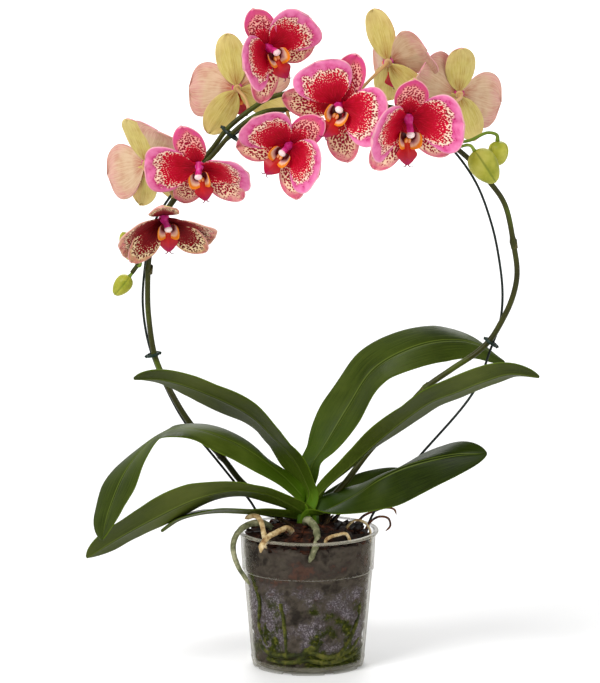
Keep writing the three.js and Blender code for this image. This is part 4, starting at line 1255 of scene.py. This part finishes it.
# ---------------------------------------------------------------- flowers
# Five tepals on a receptacle: three sepals behind and two broad petals before them, and in
# the middle the magenta column under its white anther cap. The fronts are crimson, break up
# into a cream net with maroon dots, and end pink; the backs are pale with fine veins.

SEPAL = {"length": 44.5, "width": 26.5, "claw": 0.62, "point": 0.52, "level": -1.1}
PETAL = {"length": 43, "width": 49, "claw": 0.8, "point": 0.36, "level": 1.1}
TEPAL_THICKNESS = 0.7
TEPAL_START = 3
TEPAL_CUP = 17
TEPAL_CURL = 8
TEPAL_COLUMNS = 26
TEPAL_ROWS = 36
EDGE_RUFFLE = 0.9
TIP_NOTCH = 0.8
RIB_GROOVE = 0.45
COLUMN_LENGTH = 11.5
CAP_HALVES = (3.3, 2.8, 2.3)
# The receptacle and the column: stops of the way, as the share of it towards the lip and the
# distance to the front, and the radius at shares of the length.
RECEPTACLE = {"way": [(0, -2.9), (0, -1.6), (0, -0.4)], "radii": [(0, 2.2), (0.5, 3.6), (1, 3.0)]}
COLUMN = {"way": [(0, -0.6), (0.15, 2.2), (0.6, 7), (1, COLUMN_LENGTH)],
          "radii": [(0, 4.6), (0.16, 3.8), (0.45, 2.5), (0.9, 2.8), (1, 2.0)]}
# The flower whose crimson is painted darker, as shade over its inner part.
SHADED_FLOWERS = ("flower_9",)


def tepal(name, shape, pose, matrix, seed, finishes):
    """One sepal or petal: it leans to the front, rolls gently back and lifts its two edges."""
    azimuth, lean, twist = pose
    outward = Vector((math.cos(math.radians(azimuth)), math.sin(math.radians(azimuth)), 0))
    front = Vector((0, 0, 1))
    side = front.cross(outward)
    widest = shape["claw"] / (shape["claw"] + shape["point"])
    peak = widest ** shape["claw"] * (1 - widest) ** shape["point"]
    cup = math.radians(TEPAL_CUP)
    turn = math.radians(twist)
    step = shape["length"] / TEPAL_ROWS
    middle = outward * TEPAL_START + front * shape["level"]
    rows = []
    for row in range(TEPAL_ROWS + 1):
        v = row / TEPAL_ROWS
        rise = math.radians(lean - TEPAL_CURL * v)
        if row:
            middle = middle + (outward * math.cos(rise) + front * math.sin(rise)) * step
        face = front * math.cos(rise) - outward * math.sin(rise)
        across = side * math.cos(turn) + face * math.sin(turn)
        lift = face * math.cos(turn) - side * math.sin(turn)
        wide = v ** shape["claw"] * (1 - v) ** shape["point"] / peak
        half = shape["width"] / 2 * max(wide, 0.2 if v < 0.5 else 0.05)
        rows.append((middle, across, lift, half))

    outline = [(math.atan2(row * step, half), math.hypot(row * step, half))
               for row, (_, _, _, half) in enumerate(rows)]

    def share_of(u):
        return 1 - 2 * u

    def place(u, v):
        middle, across, lift, half = rows[round(v * TEPAL_ROWS)]
        share = share_of(u)
        ruffle = EDGE_RUFFLE * abs(share) ** 3 * math.sin(
            2 * math.pi * (1.6 * v + 0.37 * seed) + 1.7 * math.copysign(1, share)) * v
        notch = TIP_NOTCH * v**8 * math.cos(2.2 * math.pi * share + seed)
        groove = -RIB_GROOVE * math.exp(-(share / 0.07) ** 2) * (1 - v) ** 0.5
        swell = 0.05 * half * math.sin(math.pi * abs(share)) * v
        return matrix @ (middle + across * (half * math.sin(cup * share) / cup)
                         + lift * (half * (1 - math.cos(cup * share)) / cup
                                   + ruffle + notch + groove + swell))

    piece = sheet_grid(name, TEPAL_COLUMNS, TEPAL_ROWS, place)
    coat(piece, *finishes)
    # The pattern reads the tepal laid flat, and how far out towards the edge each place is.
    for attribute, kind in (("flat", "FLOAT_VECTOR"), ("margin", "FLOAT")):
        piece.data.attributes.new(attribute, kind, "POINT")
    flat = piece.data.attributes["flat"]
    margin = piece.data.attributes["margin"]
    columns = TEPAL_COLUMNS + 1
    for index in range(len(piece.data.vertices)):
        share = share_of((index % columns) / TEPAL_COLUMNS)
        v = (index // columns) / TEPAL_ROWS
        half = rows[index // columns][3]
        flat.data[index].vector = (share * half + seed * 60, v * shape["length"], 0)
        wide, high = abs(share) * half, v * shape["length"]
        to_edge = math.hypot(wide, high) / between(outline, math.atan2(high, wide))
        margin.data[index].value = to_edge * min(1, 0.45 + 1.4 * v)
    apply(piece, "SOLIDIFY", thickness=TEPAL_THICKNESS * MM, offset=0,
          material_offset=1, material_offset_rim=0)
    smooth(piece)
    return piece


def value_of(finish, attribute, output="Fac"):
    return finish.add("Attribute", {}, attribute_name=attribute).outputs[output]


def to_spots(finish, scale, vector):
    """The distance to the nearest of many points that are strewn over a flat map."""
    values = {"Vector": vector, "Scale": scale}
    return finish.add("TexVoronoi", values, voronoi_dimensions="2D").outputs["Distance"]


def wandering(finish, flat, scale, detail, amount):
    """How far out a place is, from 0 at the claw to 1 at the edge, give or take a cloud."""
    cloud = finish.noise(scale, flat, detail)
    stray = maths(finish, "MULTIPLY_ADD", cloud, amount, -amount / 2)
    return maths(finish, "ADD", value_of(finish, "margin"), stray)


def spotted(finish, flat, scale, stretch, way, sizes):
    """1 inside spots whose size changes on the way out, 0 between them."""
    distance = to_spots(finish, scale, stretched(finish, flat, stretch))
    inside = maths(finish, "SUBTRACT", finish.ramp(way, sizes), distance)
    return rescaled(finish, inside, -0.06, 0.06)


def tepal_front(name, tones, ground, net, band_start, band_tone, far_tone):
    """Crimson inside, with thin pale flecks that crowd towards a net with dark dots; beyond the
    net a plain band in two tones, and a thin pale rim that is a painted sheen along the edge."""
    finish = Finish(name, Roughness=0.5, Specular_IOR_Level=0.1)
    heart, inner, outer, streak, dot_tone = tones
    flat = value_of(finish, "flat", "Vector")
    way = wandering(finish, flat, 0.16, 4, 0.36)
    veins = streaks(finish, 1.5, wide=34, long=5, detail=2)
    veined = layered(
        finish, finish.ramp(way, [(0.0, heart), (0.3, inner), (net, outer)]),
        (rescaled(finish, veins, 0.42, 0.7), 0.45, streak))
    flecks = spotted(finish, flat, 0.56, (1.2, 0.75, 1), way, [
        (0.1, 0.0), (net - 0.3, 0.05), (net - 0.16, 0.11), (net - 0.06, 0.21), (net + 0.03, 0.38)])
    fleck_tone = blended(finish, rescaled(finish, way, net - 0.3, net), streak, ground)
    flecked = blended(finish, flecks, veined, fleck_tone)
    cloud = rescaled(finish, finish.noise(0.1, flat, 4), 0.4, 0.62)
    outer_band = blended(
        finish, rescaled(finish, way, band_start, 1.0),
        layered(finish, band_tone, (cloud, 0.5, far_tone)), far_tone)
    outside = blended(
        finish, rescaled(finish, way, band_start - 0.03, band_start + 0.04), ground, outer_band)
    dots = spotted(finish, flat, 0.52, (1.1, 0.85, 1), way, [
        (net, 0.56), (band_start - 0.03, 0.38), (band_start + 0.03, 0.24),
        (band_start + 0.08, 0.0)])
    dotted = blended(finish, dots, outside, dot_tone)
    # A thin pale rim along the edge: painted sheen.
    rim = rescaled(finish, value_of(finish, "margin"), 0.972, 0.99)
    finish.set(Base_Color=layered(
        finish, blended(finish, rescaled(finish, way, net - 0.01, net + 0.04), flecked, dotted),
        (rim, 0.55, (238, 186, 180))))
    worn(finish, veins, 0.42, 0.6)
    relief(finish, maths(finish, "ADD", veins, finish.noise(1.2, flat, 2)), 0.3, 0.6)
    return finish


def tepal_back(name, base, middle, edge, vein):
    """The pale back: warm at the base, yellow-green down the middle, pink at the edge."""
    finish = Finish(name, Roughness=0.55, Specular_IOR_Level=0.12)
    flat = value_of(finish, "flat", "Vector")
    way = wandering(finish, flat, 0.08, 3, 0.4)
    cloud = rescaled(finish, finish.noise(0.09, flat, 4), 0.4, 0.7)
    veins = streaks(finish, 1.4, wide=30, long=2.5, detail=3)
    finish.set(Base_Color=layered(
        finish, finish.ramp(way, [(0.02, base), (0.35, middle), (0.65, middle), (0.92, edge)]),
        (cloud, 0.35, base), (rescaled(finish, veins, 0.38, 0.64), 0.5, vein)))
    worn(finish, veins, 0.46, 0.64)
    relief(finish, veins, 0.4, 0.7)
    return finish


# Heart, inner and outer crimson, the streaks in it, and the dots in the net.
CRIMSON = ((120, 0, 14), (160, 0, 22), (188, 0, 42), (214, 14, 62), (148, 0, 42))
# The crimson painted darker, as shade, for the flower that lies in shade.
CRIMSON_IN_SHADE = ((52, 0, 2), (88, 2, 6), (122, 6, 16), (146, 14, 28), (96, 0, 14))
petal_front = tepal_front(
    "petal_front", CRIMSON, (246, 214, 190), 0.68, 0.78, (198, 50, 120), (228, 128, 174))
dorsal_front = tepal_front(
    "dorsal_front", CRIMSON, (238, 166, 156), 0.5, 0.8, (212, 90, 112), (210, 72, 130))
sepal_front = tepal_front(
    "sepal_front", CRIMSON, (238, 202, 170), 0.48, 0.84, (222, 172, 150), (206, 92, 120))
# Its net, band and cream ground are the flower's own pattern; only the darker crimson is painted
# shade.
shaded_petal_front = tepal_front(
    "shaded_petal_front", CRIMSON_IN_SHADE, (232, 206, 168), 0.78, 0.86, (186, 66, 92), (212, 160, 130))
shaded_sepal_front = tepal_front(
    "shaded_sepal_front", CRIMSON_IN_SHADE, (228, 202, 158), 0.76, 0.88, (206, 178, 122), (196, 120, 106))
petal_back = tepal_back(
    "petal_back", (166, 88, 64), (198, 166, 134), (204, 148, 140), (214, 190, 158))
sepal_back = tepal_back(
    "sepal_back", (158, 112, 50), (196, 178, 96), (208, 186, 116), (220, 208, 140))
FRONTS = {"dorsal": dorsal_front, "sepal": sepal_front, "petal": petal_front}
SHADED_FRONTS = {"dorsal": shaded_sepal_front, "sepal": shaded_sepal_front, "petal": shaded_petal_front}

column_finish = clouded_finish("column_magenta", 260, [
    (0.3, (180, 10, 90)), (0.55, (206, 44, 130)), (0.8, (226, 110, 176))],
    gloss=(0.32, 0.5), bumps=(0.15, 0.5))
cap_finish = clouded_finish("anther_cap_white", 300, [
    (0.3, (226, 190, 196)), (0.7, (244, 234, 226))], gloss=(0.32, 0.5), bumps=(0.1, 0.5))


def bead(matrix, place, halves, finish, segments, rings):
    """A small rounded body of these half lengths, at a place on the flower's own axes."""
    alone()
    bpy.ops.mesh.primitive_uv_sphere_add(segments=segments, ring_count=rings, radius=1)
    piece = bpy.context.object
    shape = Matrix.Translation(place) @ Matrix.Diagonal((*halves, 1))
    piece.data.transform(Matrix.Scale(MM, 4) @ matrix @ shape)
    smooth(piece)
    coat(piece, finish)
    return piece


def column_parts(matrix, lip):
    """The pale receptacle behind, the arched column before it, and the anther cap on its end."""
    size = matrix.to_scale().x
    right, down = lip
    parts = []
    for body, finish in ((RECEPTACLE, stalk_pale), (COLUMN, column_finish)):
        route = [matrix @ Vector((share * right, -share * down, z)) for share, z in body["way"]]
        part = tube("column", route, lambda t, turn: size * between(body["radii"], t),
                    steps=20, sides=16)
        coat(part, finish)
        parts.append(part)
    cap_place = (right, -down - 0.6, COLUMN_LENGTH + 0.2)
    return [*parts, bead(matrix, cap_place, CAP_HALVES, cap_finish, segments=20, rings=12)]


for number, (name, flower) in enumerate(FLOWERS.items()):
    matrix = flower_matrix(flower)
    fronts = SHADED_FRONTS if name in SHADED_FLOWERS else FRONTS
    parts = []
    for kind, poses, shape, back in (
            ("dorsal", [flower["dorsal"]], SEPAL, sepal_back),
            ("sepal", flower["sepals"], SEPAL, sepal_back),
            ("petal", flower["petals"], PETAL, petal_back)):
        for pose in poses:
            seed = number * 5 + len(parts)
            parts.append(tepal(kind, shape, pose, matrix, seed, (fronts[kind], back)))
    bloom = join_pieces(name + "_bloom", parts + column_parts(matrix, flower.get("lip", (0, 0))))
    hand_over(bloom, "petal", name)


# ---------------------------------------------------------------- lips
# Each lip has two side lobes that stand up round the column with orange rims, a bright callus
# between them, and an anchor-shaped middle lobe that ends in two curled tendrils.

SIDE_COLUMNS = 60
SIDE_ROWS = 14
SIDE_THICKNESS = 0.7
LOBE_COLUMNS = 20
LOBE_ROWS = 30
LOBE_THICKNESS = 1.1
TOOTH_HALVES = (1.3, 2.2, 1.5)
# The middle lobe: its line down and to the front, and its half width at shares of its length.
MIDDLE_LINE = [(-4.2, 2.4), (-10.5, 5.6), (-18.6, 12.4), (-25.4, 15)]
MIDDLE_HALF = [(0, 2.4), (0.3, 3.2), (0.5, 5.6), (0.66, 8.4), (0.74, 7.8), (0.9, 4.2), (1, 1.0)]


def lip_finish(name, stops, gloss=0.4):
    """A waxy lip colour that runs along the piece, from stops along its UV map."""
    finish = Finish(name, Roughness=gloss, Specular_IOR_Level=0.3)
    _, along = shares(finish)
    cloud = finish.noise(300, detail=4)
    way = maths(finish, "ADD", along, maths(finish, "MULTIPLY_ADD", cloud, 0.24, -0.12))
    finish.set(Base_Color=finish.ramp(way, stops))
    worn(finish, cloud, gloss - 0.06, gloss + 0.1)
    relief(finish, cloud, 0.25, 0.5)
    return finish


side_inner = lip_finish("side_lobe_inner", [
    (0.0, (40, 0, 4)), (0.36, (96, 6, 12)), (0.52, (206, 150, 150)), (0.68, (240, 206, 170)),
    (0.84, (238, 136, 24))])
side_outer = lip_finish("side_lobe_outer", [
    (0.0, (176, 16, 10)), (0.4, (214, 60, 14)), (0.7, (236, 130, 40)), (0.95, (238, 140, 26))])
middle_face = lip_finish("middle_lobe", [
    (0.0, (216, 112, 14)), (0.3, (196, 44, 2)), (0.52, (186, 8, 8)), (0.76, (172, 0, 34)),
    (1.0, (156, 0, 74))])
tendril_dark = lip_finish("tendril", [(0.0, (170, 10, 60)), (0.6, (96, 40, 70))])
callus_face = lip_finish("callus", [
    (0.0, (226, 96, 16)), (0.6, (240, 160, 40)), (1.0, (228, 150, 130))], gloss=0.35)


def lip_matrix(flower):
    """The axes of a flower's lip, which sits to the right of and below the flower's middle."""
    right, down = flower.get("lip", (0, 0))
    return flower_matrix(flower) @ Matrix.Translation((right, -down, 0))


def side_lobes(matrix):
    """One sheet: a dark cup in the throat, whose wall stands up on both sides as the lobes."""
    def place(u, v):
        turn = math.radians(25 - 230 * u)
        away = abs(math.degrees(turn) + 90) / 120
        rise = 2.5 + 9 * math.sin(math.pi * min(1, away * 0.9) ** 1.1)
        up = max(0, v - 0.25) / 0.75
        radius = 0.6 + 4.4 * min(1, v / 0.25) + 4.4 * up**0.8 - 1.4 * max(0, up - 0.6) * away
        return matrix @ Vector((radius * math.cos(turn), 1.12 * radius * math.sin(turn) - 4.6,
                                4 + rise * up))

    lobes = sheet_grid("side_lobes", SIDE_COLUMNS, SIDE_ROWS, place)
    coat(lobes, side_inner, side_outer)
    apply(lobes, "SOLIDIFY", thickness=SIDE_THICKNESS * MM, offset=0, material_offset=1,
          material_offset_rim=1)
    soften(lobes)
    return lobes


def middle_lobe(matrix):
    """The anchor-shaped front lobe, with a keel down its middle and its sides folded back."""
    stations = smooth_route([(0, y, z) for y, z in MIDDLE_LINE], LOBE_ROWS)

    def place(u, v):
        _, y, z = stations[round(v * LOBE_ROWS)]
        share = 1 - 2 * u
        half = between(MIDDLE_HALF, v)
        keel = 0.9 * math.exp(-(share / 0.22) ** 2) * math.sin(math.pi * min(1, v * 1.1))
        fold = abs(share) ** 1.5 * half
        return matrix @ Vector((share * half, y - fold * 0.12 - keel * 0.3, z - fold * 0.3 + keel))

    lobe = sheet_grid("middle_lobe", LOBE_COLUMNS, LOBE_ROWS, place)
    coat(lobe, middle_face)
    apply(lobe, "SOLIDIFY", thickness=LOBE_THICKNESS * MM, offset=0)
    soften(lobe)
    return lobe


def tendril(matrix, hand):
    """One of the two thin tails that curl up from the lobe's tip."""
    y, z = MIDDLE_LINE[-1]
    places = [(0, y + 1, z - 0.4), (hand * 2.2, y - 1, z + 0.8), (hand * 4.2, y + 0.2, z + 2.4)]
    size = matrix.to_scale().x
    piece = tube("tendril", [matrix @ Vector(place) for place in places],
                 lambda t, turn: size * (0.6 - 0.4 * t), steps=16, sides=8)
    coat(piece, tendril_dark)
    return piece


def callus(matrix):
    """Two rounded teeth side by side where the lobes meet."""
    return [bead(matrix, (hand * 1.3, -8.6, 6.6), TOOTH_HALVES, callus_face, segments=16, rings=10)
            for hand in (-1, 1)]


for name, flower in FLOWERS.items():
    matrix = lip_matrix(flower)
    parts = [side_lobes(matrix), middle_lobe(matrix), *callus(matrix)]
    parts += [tendril(matrix, hand) for hand in (-1, 1)]
    node = name.replace("flower", "lip")
    lip = join_pieces(node + "_bloom", parts)
    hand_over(lip, "lip", node)
